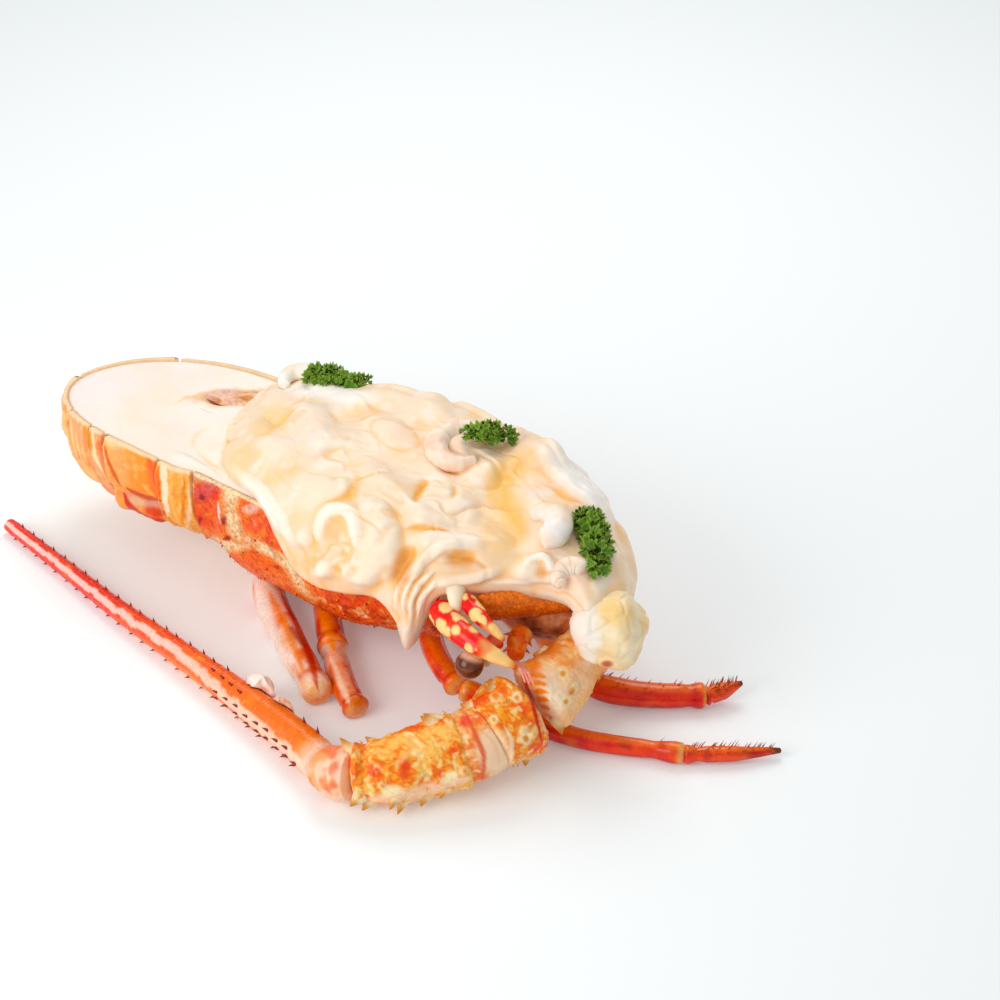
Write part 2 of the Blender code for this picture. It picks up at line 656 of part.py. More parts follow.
LEG_C = (
    (((1.0, 57.0, 36.0), (8.0, 50.0, 13.0), (16.0, 24.0, 6.4), (20.0, -4.0, 8.0)), (4.6, 4.8, 4.6, 4.6)),
    (((20.0, -3.0, 8.0), (31.7, -17.3, 12.5), (43.0, -26.0, 13.5), (58.5, -33.0, 12.0)), (4.4, 4.9, 4.8, 4.6)),
    (((57.5, -31.5, 10.8), (72.0, -26.5, 7.2), (100.7, -22.5, 4.4), (146.0, -2.6, 4.2)), (4.4, 4.2, 3.8, 3.7)),
    (((144.5, -3.5, 4.0), (160.0, 9.0, 4.0), (173.0, 22.5, 3.4)), (3.3, 3.2, 1.0)),
)
LEG_D = (
    (((25.0, 57.0, 36.0), (34.0, 50.0, 13.0), (52.0, 28.0, 6.6), (86.0, 5.5, 6.6)), (4.6, 4.8, 5.0, 5.0)),
    (((84.5, 5.8, 6.6), (97.0, 7.5, 6.2), (112.2, 14.1, 5.8), (133.5, 30.5, 5.4)), (5.0, 5.5, 5.0, 4.6)),
    (((132.5, 29.0, 5.4), (137.5, 36.5, 6.2), (141.5, 43.0, 8.0)), (4.0, 3.6, 1.0)),
)


# The sauce and what lies on it

SAUCE_EDGE = (
    (-95.0, 33.0, 60.9),
    (-91.0, 14.0, 60.9),
    (-82.0, -10.0, 60.9),
    (-69.5, -26.8, 60.9),
    (-59.0, -31.6, 60.9),
    (-49.0, -33.6, 60.9),
    (-38.5, -37.6, 59.8),
    (-27.0, -42.6, 53.0),
    (-13.5, -47.2, 45.5),
    (-2.0, -48.6, 44.5),
    (12.0, -48.4, 47.5),
    (28.0, -45.6, 50.0),
    (37.0, -45.5, 43.0),
    (42.5, -46.5, 33.5),
    (47.0, -41.0, 47.0),
    (51.0, -37.5, 57.0),
    (60.0, -30.5, 60.0),
    (76.0, -18.0, 60.5),
    (92.0, -12.0, 60.0),
    (108.0, -14.0, 54.0),
    (113.0, -2.0, 52.0),
    (104.0, 17.0, 50.0),
    (85.0, 35.0, 50.0),
    (58.0, 49.0, 53.0),
    (20.0, 54.0, 56.0),
    (-20.0, 53.0, 56.0),
    (-56.0, 47.0, 58.0),
    (-84.0, 41.0, 60.8),
)
SAUCE_RIDGE = ((-95.0, 65.0), (-70.0, 71.0), (-45.0, 76.0), (-10.0, 79.0), (40.0, 80.5), (75.0, 76.0), (112.0, 66.0))
SAUCE_LUMPS = (
    (8.0, -24.0, 13.0, 4.5),
    (-30.0, -14.0, 15.0, 3.0),
    (-62.0, -4.0, 14.0, 2.0),
    (-10.0, 36.0, 14.0, 3.5),
    (44.0, 38.0, 12.0, 4.0),
    (48.0, -8.0, 12.0, -3.0),
    (62.0, 14.0, 12.0, 2.5),
    (-36.0, 18.0, 10.0, -2.0),
)


def closed_through(keys, count):
    """Points round the smooth closed curve through the keys."""
    keys = np.asarray(keys, float)
    wrapped = np.vstack([keys[-3:], keys, keys[:4]])
    reach = np.concatenate([[0.0], np.cumsum(np.linalg.norm(np.diff(wrapped, axis=0), axis=1))])
    slope = np.gradient(wrapped, reach, axis=0)
    at = np.linspace(reach[3], reach[3 + len(keys)], count, endpoint=False)
    i = np.clip(np.searchsorted(reach, at, side="right") - 1, 0, len(reach) - 2)
    width = (reach[i + 1] - reach[i])[:, None]
    t = (at - reach[i])[:, None] / width
    start = (2 * t**3 - 3 * t**2 + 1) * wrapped[i] + (t**3 - 2 * t**2 + t) * width * slope[i]
    end = (3 * t**2 - 2 * t**3) * wrapped[i + 1] + (t**3 - t**2) * width * slope[i + 1]
    return start + end


def sauce_height(x, y):
    """Height of the top of the sauce, away from its edge."""
    ridge = np.array(SAUCE_RIDGE)
    height = np.interp(x, ridge[:, 0], ridge[:, 1]) + 0.045 * y
    for middle_x, middle_y, size, lift in SAUCE_LUMPS:
        height = height + lift * np.exp(-((x - middle_x) ** 2 + (y - middle_y) ** 2) / size**2)
    return height + 1.1 * np.sin(0.16 * x + 0.10 * y) * np.sin(0.19 * y - 0.05 * x + 1.0)


def build_sauce(material):
    edge = closed_through(SAUCE_EDGE, 54)
    hub = np.column_stack([np.clip(edge[:, 0], -62.0, 84.0), np.full(len(edge), 4.0)])
    rings = []
    for share in (0.14, 0.42, 0.66, 0.83, 0.935, 0.985):
        flat = hub + (edge[:, :2] - hub) * share
        crown = sauce_height(flat[:, 0], flat[:, 1])
        rise = (1.0 - share**7) ** 0.5
        rings.append(np.column_stack([flat, edge[:, 2] + (crown - edge[:, 2]) * rise]))
    rings.append(edge.copy())
    for share, sink in ((0.965, 1.8), (0.90, 1.0), (0.80, 0.0)):
        flat = hub + (edge[:, :2] - hub) * share
        low = np.minimum(edge[:, 2] - sink, CUT_Z - 3.0) if sink > 0.0 else np.full(len(edge), CUT_Z - 3.0)
        rings.append(np.column_stack([flat, low]))
    rings = np.stack(rings, axis=0)
    return new_object("sauce", *drum(rings), material)


def sauce_seat():
    """The space that the shell and the flesh take up under the sauce."""
    u = np.concatenate([np.linspace(0.0, 0.9, 12), [1.1, 1.5, 1.8], np.linspace(2.0, 3.0, 10)])
    grow = SHELL_GAP + SHELL_WALL + 0.7 + 1.6 * smooth(1.8, 2.1, u)
    down = np.array([0.0, 0.12, 0.26, 0.42, 0.58])
    rings = wall(u, down, grow[:, None] * np.ones(len(down))[None, :]).transpose(1, 0, 2)
    rings[0, :, 2] = CUT_Z + CLEARANCE
    return new_object("seat", *drum(rings), HELPER)


def curl_keys(centre, coil, start, sweep, tilt, count=7):
    """Keys along an arc, tilted towards one side, for a curled shrimp."""
    angle = np.radians(start + np.linspace(0.0, sweep, count))
    x = centre[0] + coil * np.cos(angle)
    y = centre[1] + coil * np.sin(angle)
    z = centre[2] + tilt * np.sin(angle)
    return np.column_stack([x, y, z])


def build_shrimp(name, centre, coil, body, start, sweep, tilt, material):
    keys = curl_keys(centre, coil, start, sweep, tilt)
    radii = (body * 0.75, body, body * 1.02, body * 0.9, body * 0.7, body * 0.42)
    return new_object(name, *rod(keys, radii, 8, 8), material)


def build_chunk(material):
    def lumps(way):
        return 1.0 + 0.10 * np.sin(4.0 * way[..., 0] + 3.0 * way[..., 1]) + 0.06 * np.sin(7.0 * way[..., 2])

    points, faces = ball((112.0, -6.5, 51.0), (14.5, 15.0, 14.5), 7, 12, lumps)
    return new_object("white_chunk", points, faces, material)


def leaflet(centre, radius, frill, waves, lean, turn, name):
    """A thin round leaf with a frilled edge, leaning to one side."""
    ring = np.linspace(0.0, 2.0 * math.pi, 9, endpoint=False)
    share = np.array([0.5, 1.0])
    x = share[:, None] * np.cos(ring)[None, :] * radius
    y = share[:, None] * np.sin(ring)[None, :] * radius
    z = frill * share[:, None] ** 2 * np.sin(waves * ring)[None, :] + 0.30 * radius * share[:, None] ** 2
    tilt = math.radians(lean)
    y, z = y * math.cos(tilt) - z * math.sin(tilt), y * math.sin(tilt) + z * math.cos(tilt)
    spin = math.radians(turn)
    x, y = x * math.cos(spin) - y * math.sin(spin), x * math.sin(spin) + y * math.cos(spin)
    sheet = np.stack([x, y, z], axis=2) + np.asarray(centre)
    normal = np.array([math.sin(tilt) * math.sin(spin), -math.sin(tilt) * math.cos(spin), math.cos(tilt)])
    thick = 0.55
    rings = np.concatenate([(sheet + normal * thick), (sheet - normal * thick)[::-1]], axis=0)
    points, faces = skin(rings)
    points[-2] = np.asarray(centre) + normal * thick
    points[-1] = np.asarray(centre) - normal * thick
    return new_object(name, points, faces, HELPER)


def build_parsley(name, stem, leaves, material):
    """A sprig: its stalk, and frilled leaves fused to it."""
    stalk = new_object(name, *rod(stem, (1.4, 1.3, 1.3), 3, 5), material)
    path = through(stem, 101)
    parts = []
    for share, radius, frill, waves, lean, turn in leaves:
        centre = path[int(round(100 * share))] + np.array([0.0, 0.0, 0.6])
        parts.append(leaflet(centre, radius, frill, waves, lean, turn, "leaf"))
    return combine(stalk, parts, "UNION")


def main():
    for obj in list(bpy.data.objects):
        bpy.data.objects.remove(obj, do_unlink=True)

    white = finish("lobster_meat", (0.93, 0.86, 0.72), 0.42, 0.15)
    tissue = finish("fold_tissue", (0.72, 0.38, 0.14), 0.5)
    band_shell = finish("tail_shell", (0.86, 0.36, 0.15), 0.4)
    chest = finish("chest_shell", (0.83, 0.27, 0.09), 0.42)
    breast = finish("breast_shell", (0.86, 0.50, 0.28), 0.5)
    flesh = finish("head_flesh", (0.55, 0.33, 0.18), 0.55)
    brow = finish("brow_shell", (0.85, 0.33, 0.10), 0.45)
    horn = finish("horn_shell", (0.78, 0.07, 0.03), 0.3)
    stalk = finish("eye_stalk", (0.86, 0.70, 0.52), 0.4)
    eyeball = finish("eye_ball", (0.22, 0.10, 0.03), 0.25)
    feeler = finish("feeler_shell", (0.85, 0.38, 0.14), 0.5)
    thread = finish("feeler_thread", (0.88, 0.52, 0.40), 0.5)
    root = finish("antenna_shell", (0.88, 0.42, 0.13), 0.42)
    joint = finish("joint_skin", (0.90, 0.62, 0.50), 0.45)
    whip_shell = finish("whip_shell", (0.80, 0.22, 0.07), 0.35)
    leg_pale = finish("leg_pale_shell", (0.88, 0.50, 0.38), 0.4)
    leg_red = finish("leg_red_shell", (0.76, 0.17, 0.04), 0.32)
    cream = finish("sauce", (0.95, 0.83, 0.60), 0.32, 0.1)
    shrimp = finish("shrimp_flesh", (0.95, 0.78, 0.66), 0.35, 0.1)
    chunk = finish("white_flesh", (0.95, 0.92, 0.80), 0.35, 0.1)
    green = finish("parsley_leaf", (0.07, 0.22, 0.03), 0.55)

    meat = build_meat(white)
    fold = clear_of(build_fold(tissue), [meat])
    build_bands(band_shell)
    shield = build_shield(chest)
    plate = build_breast(breast)
    clear_of(plate, [shield, meat])
    head = build_head(flesh)

    horns = build_horns(horn)
    brow_edge = build_brow(brow)
    stalk_piece, eye = build_eye(stalk, eyeball)
    feeler_base, threads = build_feelers(feeler, thread)

    antenna = build_antenna(root, joint, whip_shell)
    first, middle, end, joint_ring, knuckle, whip = antenna
    clear_of(head, [meat, shield, plate, first])
    clear_of(stalk_piece, [eye, head])
    clear_of(feeler_base, [head, threads, brow_edge, first])
    clear_of(threads, [first, middle])
    clear_of(brow_edge, [head] + horns)
    clear_of(middle, [first])
    clear_of(end, [middle])
    clear_of(joint_ring, [middle, end])
    clear_of(knuckle, [end, whip])
    build_scraps(joint)

    legs = build_leg("leg_rear", LEG_A, leg_pale)
    legs += build_leg("leg_third", LEG_B, leg_pale)
    legs += build_leg("leg_second", LEG_C, leg_red, bristled=(4,))
    legs += build_leg("leg_front", LEG_D, leg_red, bristled=(2, 3))
    for piece in legs:
        clear_of(piece, [plate, shield])

    sauce = build_sauce(cream)
    shrimps = [
        build_shrimp("shrimp_rear", (-80.5, 31.0, 69.5), 6.0, 3.8, 20.0, 250.0, 1.0, shrimp),
        build_shrimp("shrimp_middle", (18.5, 20.0, 82.0), 10.8, 5.2, 90.0, 250.0, 1.2, shrimp),
        build_shrimp("shrimp_front", (72.5, 1.0, 77.5), 6.5, 5.6, -60.0, 230.0, 1.5, shrimp),
        build_shrimp("shrimp_end", (95.0, -9.5, 69.5), 5.4, 4.3, 60.0, 200.0, 1.0, shrimp),
    ]
    lump = build_chunk(chunk)
    clear_of(lump, [first, brow_edge, shrimps[3]])
    greens = [
        build_parsley(
            "parsley_rear",
            ((-73.4, 33.8, 71.6), (-63.2, 37.6, 74.0), (-52.4, 39.8, 72.8)),
            (
                (0.10, 7.0, 1.4, 4, 18.0, 10.0),
                (0.50, 7.5, 1.6, 5, 30.0, 60.0),
                (0.90, 6.5, 1.4, 4, 15.0, -30.0),
            ),
            green,
        ),
        build_parsley(
            "parsley_middle",
            ((22.5, 21.8, 88.0), (26.2, 26.4, 87.6), (29.7, 33.2, 84.8)),
            (
                (0.10, 5.4, 1.4, 4, 20.0, 15.0),
                (0.50, 6.0, 1.5, 5, 35.0, 70.0),
                (0.90, 5.4, 1.3, 4, 15.0, -20.0),
            ),
            green,
        ),
        build_parsley(
            "parsley_front",
            ((99.8, 1.3, 69.5), (91.3, 9.8, 73.5), (81.3, 17.8, 76.0)),
            (
                (0.92, 7.2, 1.6, 4, 30.0, 20.0),
                (0.50, 7.8, 1.8, 5, 40.0, 50.0),
                (0.08, 7.0, 1.6, 4, 35.0, 30.0),
            ),
            green,
        ),
    ]
    combine(sauce, [sauce_seat()], "DIFFERENCE")
    clear_of(sauce, [fold, head, brow_edge, lump] + horns + shrimps)
    for sprig in greens:
        clear_of(sprig, shrimps + [lump, sauce])


HELPER = bpy.data.materials.new("helper")

if __name__ == "__main__":
    main()
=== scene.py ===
"""Half of a cooked spiny lobster, cut face up, under cream sauce with shrimps and parsley.

Lengths inside the classes are millimetres in the body's own frame: X runs from the tail to the head, the
back of the animal looks to -Y, its belly to +Y, and Z is up. Kitchen.piece moves each finished shape by
BODY_SHIFT and brings it to metres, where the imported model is.
"""

from __future__ import annotations

import logging
import math
from dataclasses import dataclass, field
from enum import Enum
from functools import partial
from typing import Any

import bpy
import numpy as np
from mathutils import Matrix

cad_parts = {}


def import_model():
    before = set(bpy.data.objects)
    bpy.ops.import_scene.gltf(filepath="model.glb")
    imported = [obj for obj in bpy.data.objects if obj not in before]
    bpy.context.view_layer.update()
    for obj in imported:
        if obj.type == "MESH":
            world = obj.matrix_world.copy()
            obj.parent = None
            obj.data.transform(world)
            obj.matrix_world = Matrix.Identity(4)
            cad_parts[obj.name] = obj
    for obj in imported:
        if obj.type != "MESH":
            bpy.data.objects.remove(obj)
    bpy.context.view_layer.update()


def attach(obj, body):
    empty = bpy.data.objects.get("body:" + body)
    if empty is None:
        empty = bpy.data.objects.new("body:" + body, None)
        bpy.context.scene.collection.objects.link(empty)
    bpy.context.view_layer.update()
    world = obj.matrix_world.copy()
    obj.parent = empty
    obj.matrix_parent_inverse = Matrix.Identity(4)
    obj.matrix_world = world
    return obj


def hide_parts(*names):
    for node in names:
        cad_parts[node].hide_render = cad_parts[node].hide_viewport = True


Array = np.ndarray
Shade = tuple[float, float, float]
Point = tuple[float, float, float]
Spot = tuple[float, float]
LOG = logging.getLogger("lobster")
MM = 0.001
BODY_SHIFT = np.array((0.4, 23.9, -0.13))
FLOOR_LIFT = 0.15
# Large odd numbers that stir the bits of a lattice corner's place, up to the largest 32-bit number.
LARGEST = 0xFFFFFFFF
AXIS_MIX = (73856093, 19349663, 83492791)
SEED_MIX, SALT_MIX = 2654435761, 40503
STIRS = ((16, 2246822519), (13, 3266489917))
UP = np.array((0, 0, 1))


# Small numbers and colours


def smooth(low: float, high: float, value: Array | float) -> Array:
    """0 below low, 1 above high, and an S-curve between."""
    t = np.clip((np.asarray(value, float) - low) / (high - low), 0, 1)
    return t * t * (3 - 2 * t)


def bump(value: Array | float, middle: float, width: float) -> Array:
    """A bell of height 1 about the middle."""
    return np.exp(-(((np.asarray(value, float) - middle) / width) ** 2))


def unit(vectors: Array) -> Array:
    """Each vector brought to length 1."""
    return vectors / np.maximum(np.linalg.norm(vectors, axis=-1, keepdims=True), 1e-9)


def soft_max(first: Array, second: Array, blend: float) -> Array:
    """The larger of two heights, rounded where they meet: a quadratic blend over the given width."""
    t = np.clip(0.5 + 0.5 * (second - first) / blend, 0, 1)
    return first + (second - first) * t + blend * t * (1 - t)


def tone(red: float, green: float, blue: float) -> Array:
    """A screen colour, 0 to 255 each, as linear light."""
    c = np.array((red, green, blue)) / 255
    return np.where(c <= 0.04045, c / 12.92, ((c + 0.055) / 1.055) ** 2.4)


def linear(shade: Shade | Array) -> Array:
    """A shade as linear light; an array is already that."""
    return tone(*shade) if isinstance(shade, tuple) else shade


def tint(base: Shade | Array, other: Shade | Array, share: Array | float) -> Array:
    """Base moved towards other by share, for shades and for arrays of linear colours."""
    share = np.clip(np.asarray(share, float), 0, 1)[..., None]
    return linear(base) * (1 - share) + linear(other) * share


@dataclass(frozen=True)
class Noise:
    """Repeatable smooth noise in space.

    Each whole-number corner of a lattice has its own random value, and a point takes the blend of the eight
    corners round it.
    """

    seed: int = 1

    def corner(self, cell: Array, salt: int = 0) -> Array:
        """A random number from 0 to 1 for each lattice corner.

        Args:
            cell: whole-number corners.
            salt: sets one series of numbers apart from another.

        Returns:
            A number from 0 to 1 for each corner.
        """
        c = (cell.astype(np.int64) & LARGEST).astype(np.uint64) * np.array(AXIS_MIX, np.uint64)
        h = c[..., 0] ^ c[..., 1] ^ c[..., 2] ^ np.uint64((self.seed * SEED_MIX + salt * SALT_MIX) & LARGEST)
        for shift, mix in STIRS:
            h = h & np.uint64(LARGEST)
            h = (h ^ (h >> np.uint64(shift))) * np.uint64(mix)
        h = h & np.uint64(LARGEST)
        return (h ^ (h >> np.uint64(16))).astype(float) / LARGEST

    def value(self, points: Array, size: float | Point) -> Array:
        """Noise from -1 to 1 whose lumps are about size across.

        Args:
            points: the places.
            size: how wide a lump is, or its width along X, Y and Z.

        Returns:
            The noise at each place.
        """
        p = points / np.asarray(size, float)
        cell = np.floor(p)
        t = p - cell
        t = t * t * (3 - 2 * t)
        total = np.zeros(points.shape[:-1])
        for i in range(8):
            step = np.array((i & 1, (i >> 1) & 1, (i >> 2) & 1), float)
            weight = np.prod(np.where(step > 0.5, t, 1 - t), axis=-1)
            total = total + weight * self.corner(cell + step)
        return 2 * total - 1

    def layered(self, points: Array, size: float, layers: int = 4, fade: float = 0.5) -> Array:
        """Noise with finer and weaker noise added to it.

        Args:
            points: the places.
            size: how wide the largest lumps are.
            layers: how many sizes there are, each half of the last.
            fade: the weight of each against the last.

        Returns:
            The noise at each place, from -1 to 1.
        """
        total = np.zeros(points.shape[:-1])
        weight, whole = 1, 0
        for i in range(layers):
            total = total + weight * Noise(self.seed + 17 * i).value(points, size / 2**i)
            whole += weight
            weight *= fade
        return total / whole

    def cells(self, points: Array, size: float) -> tuple[Array, Array, Array]:
        """Distances to the nearest and the next scattered point, in units of size, and the nearest one's number.

        Args:
            points: the places.
            size: how far the scattered points lie apart.

        Returns:
            For each place the nearest distance, the next one, and the nearest point's own number.
        """
        p = points / size
        cell = np.floor(p)
        near = np.full(points.shape[:-1], 9.0)
        after = near.copy()
        number = np.zeros_like(near)
        for i in range(27):
            home = cell + np.array((i % 3 - 1, (i // 3) % 3 - 1, i // 9 - 1), float)
            spot = home + np.stack([self.corner(home, salt) for salt in (1, 2, 3)], axis=-1)
            gap = np.linalg.norm(spot - p, axis=-1)
            closer = gap < near
            after = np.where(closer, near, np.minimum(after, gap))
            number = np.where(closer, self.corner(home, 4), number)
            near = np.where(closer, gap, near)
        return near, after, number


# Curves, grids and the parts made from them


def through(keys: Array, count: int) -> Array:
    """Points spaced evenly along the smooth curve through the keys (cubic pieces with shared slopes).

    Args:
        keys: the points to go through.
        count: how many points to give.

    Returns:
        The points along the curve.
    """
    keys = np.asarray(keys, float)
    reach = np.concatenate([[0], np.cumsum(np.linalg.norm(np.diff(keys, axis=0), axis=1))])
    slope = np.gradient(keys, reach, axis=0)
    at = np.linspace(0, reach[-1], count)
    i = np.clip(np.searchsorted(reach, at, side="right") - 1, 0, len(reach) - 2)
    width = (reach[i + 1] - reach[i])[:, None]
    t = (at - reach[i])[:, None] / width
    start = (2 * t**3 - 3 * t**2 + 1) * keys[i] + (t**3 - 2 * t**2 + t) * width * slope[i]
    end = (3 * t**2 - 2 * t**3) * keys[i + 1] + (t**3 - t**2) * width * slope[i + 1]
    return start + end


def grid_normals(grid: Array, wraps: bool) -> Array:
    """Unit normals of a grid: the cross product of its slopes along and across.

    Args:
        grid: rows by columns of points.
        wraps: whether the last column runs on into the first.

    Returns:
        Normals that point away from the middle of each row.
    """
    along = np.gradient(grid, axis=0)
    across = np.roll(grid, -1, axis=1) - np.roll(grid, 1, axis=1) if wraps else np.gradient(grid, axis=1)
    normal = unit(np.cross(along, across))
    outward = grid - grid.mean(axis=1, keepdims=True)
    return normal if (normal * outward).sum() > 0 else -normal


@dataclass
class Part:
    """A closed body: its points, four- and three-sided faces, end faces, and a colour for each point."""

    points: Array
    quads: Array
    triangles: Array
    colour: Array
    ends: list[Array] = field(default_factory=list)

    @staticmethod
    def joined(parts: list[Part]) -> Part:
        """Several bodies as one part."""
        shift = np.concatenate([[0], np.cumsum([len(part.points) for part in parts])])
        return Part(
            np.concatenate([part.points for part in parts]),
            np.concatenate([part.quads + s for part, s in zip(parts, shift)]),
            np.concatenate([part.triangles + s for part, s in zip(parts, shift)]),
            np.concatenate([part.colour for part in parts]),
            [end + s for part, s in zip(parts, shift) for end in part.ends],
        )


def spread_colour(colour: Shade | Array, shape: tuple[int, ...]) -> Array:
    """One colour, or an array of them, as one for each point of the shape."""
    return np.broadcast_to(linear(colour), (*shape, 3)).reshape(-1, 3)


def tubes(rings: Array, colour: Shade | Array) -> Part:
    """Bodies through closed rings, each end closed by one flat face.

    Args:
        rings: bodies by rings by corners of points.
        colour: one colour, or one for each point.

    Returns:
        One part that holds every body.
    """
    index = np.arange(rings[..., 0].size).reshape(rings.shape[:3])
    after = np.roll(index, -1, axis=2)
    quads = np.stack([index[:, :-1], after[:, :-1], after[:, 1:], index[:, 1:]], axis=-1).reshape(-1, 4)
    ends = [row[::-1] for row in index[:, 0]] + list(index[:, -1])
    return Part(rings.reshape(-1, 3), quads, np.zeros((0, 3), int), spread_colour(colour, rings.shape[:3]), ends)


def ring_body(rings: Array, colour: Shade | Array) -> Part:
    """The body through closed rings, each end drawn to its middle point.

    Args:
        rings: rings by corners of points.
        colour: one colour, or one for each point.

    Returns:
        The closed body.
    """
    part = tubes(rings[None], colour)
    hub, (first, last) = len(part.points), part.ends
    first = first[::-1]
    fans = [
        np.stack([np.full(len(first), hub), np.roll(first, -1), first], axis=-1),
        np.stack([np.full(len(last), hub + 1), last, np.roll(last, -1)], axis=-1),
    ]
    points = np.vstack([part.points, rings[0].mean(axis=0), rings[-1].mean(axis=0)])
    tints = np.vstack([part.colour, part.colour[first].mean(axis=0), part.colour[last].mean(axis=0)])
    return Part(points, part.quads, np.vstack(fans), tints)


def strip(first: Array, second: Array, place: Array) -> Array:
    """Triangles that zip two chains of points together, both in rising order of place.

    Each edge of one chain is drawn to the point of the other chain that as many edges of that chain lie before.

    Args:
        first: the numbers of one chain's points.
        second: those of the other.
        place: each point's place along its chain.

    Returns:
        The triangles between the chains.
    """
    middles = [0.5 * (place[chain[1:]] + place[chain[:-1]]) for chain in (first, second)]
    to_second = second[np.searchsorted(middles[1], middles[0])]
    to_first = first[np.searchsorted(middles[0], middles[1])]
    return np.vstack([
        np.stack([first[:-1], first[1:], to_second], axis=-1),
        np.stack([second[1:], second[:-1], to_first], axis=-1),
    ])


def sheet_body(outer: Array, inner: Array, outer_colour: Array, inner_colour: Shade, thin: int = 4) -> Part:
    """The body between two sheets over the same grid, closed round its rim; few lines of the inner sheet are kept.

    Args:
        outer: rows by columns of points on the side that is seen.
        inner: the points behind them.
        outer_colour: one colour, or one for each outer point.
        inner_colour: the inner sheet's one colour.
        thin: the inner sheet keeps its first and last line and every thin-th one, each way.

    Returns:
        The closed body; its rim joins the fine sheet to the coarse one with triangles.
    """
    size = outer.shape[0] * outer.shape[1]
    lines = [np.append(np.arange(0, count - 1, thin), count - 1) for count in outer.shape[:2]]
    lean = inner[np.ix_(*lines)]
    sheets = [np.arange(size).reshape(outer.shape[:2]), size + np.arange(lean[..., 0].size).reshape(lean.shape[:2])]
    faces = [
        np.stack([index[:-1, :-1], index[:-1, 1:], index[1:, 1:], index[1:, :-1]], axis=-1).reshape(-1, 4)
        for index in sheets
    ]
    row, column = (
        np.concatenate([grid.ravel(), few.ravel()])
        for grid, few in zip(np.indices(outer.shape[:2]), np.meshgrid(*lines, indexing="ij"))
    )
    fine, coarse = sheets
    rim = [
        strip(fine[0], coarse[0], column)[:, ::-1],
        strip(fine[:, -1], coarse[:, -1], row)[:, ::-1],
        strip(fine[-1], coarse[-1], column),
        strip(fine[:, 0], coarse[:, 0], row),
    ]
    return Part(
        np.vstack([outer.reshape(-1, 3), lean.reshape(-1, 3)]),
        np.vstack([faces[0], faces[1][:, ::-1]]),
        np.vstack(rim),
        np.vstack([spread_colour(outer_colour, outer.shape[:2]), spread_colour(inner_colour, lean.shape[:2])]),
    )


def spikes(
    bases: Array,
    ways: Array,
    lengths: Array,
    radii: Array | float,
    low: Shade,
    high: Shade,
    sides: int = 8,
) -> Part:
    """Tapered spines, all worked out at once: rings round each spine's own axis, shrinking towards its tip.

    Args:
        bases: where each spine leaves its shell.
        ways: its direction.
        lengths: its length.
        radii: its radius at the base.
        low: colour at the base.
        high: colour at the tip.
        sides: corners of each ring.

    Returns:
        One part that holds every spine.
    """
    bases, ways = np.asarray(bases, float), unit(np.asarray(ways, float))
    lengths, radii = (np.broadcast_to(np.asarray(size, float), (len(bases),)) for size in (lengths, radii))
    side = unit(np.cross(ways, np.array((0.31, 0.17, 0.93))))
    other = np.cross(ways, side)
    share = np.array((-0.25, 0, 0.35, 0.7, 0.93, 1))
    width = np.array((0.9, 1, 0.66, 0.34, 0.13, 0.02))
    angle = np.linspace(0, 2 * math.pi, sides, endpoint=False)
    spoke = side[:, None, :] * np.cos(angle)[None, :, None] + other[:, None, :] * np.sin(angle)[None, :, None]
    centre = bases[:, None, :] + ways[:, None, :] * (lengths[:, None] * share[None, :])[..., None]
    rings = centre[:, :, None, :] + spoke[:, None, :, :] * (radii[:, None] * width[None, :])[..., None, None]
    along = np.broadcast_to(np.clip(share, 0, 1)[None, :, None], rings.shape[:3])
    return tubes(rings, tint(low, high, smooth(0.2, 0.9, along)))


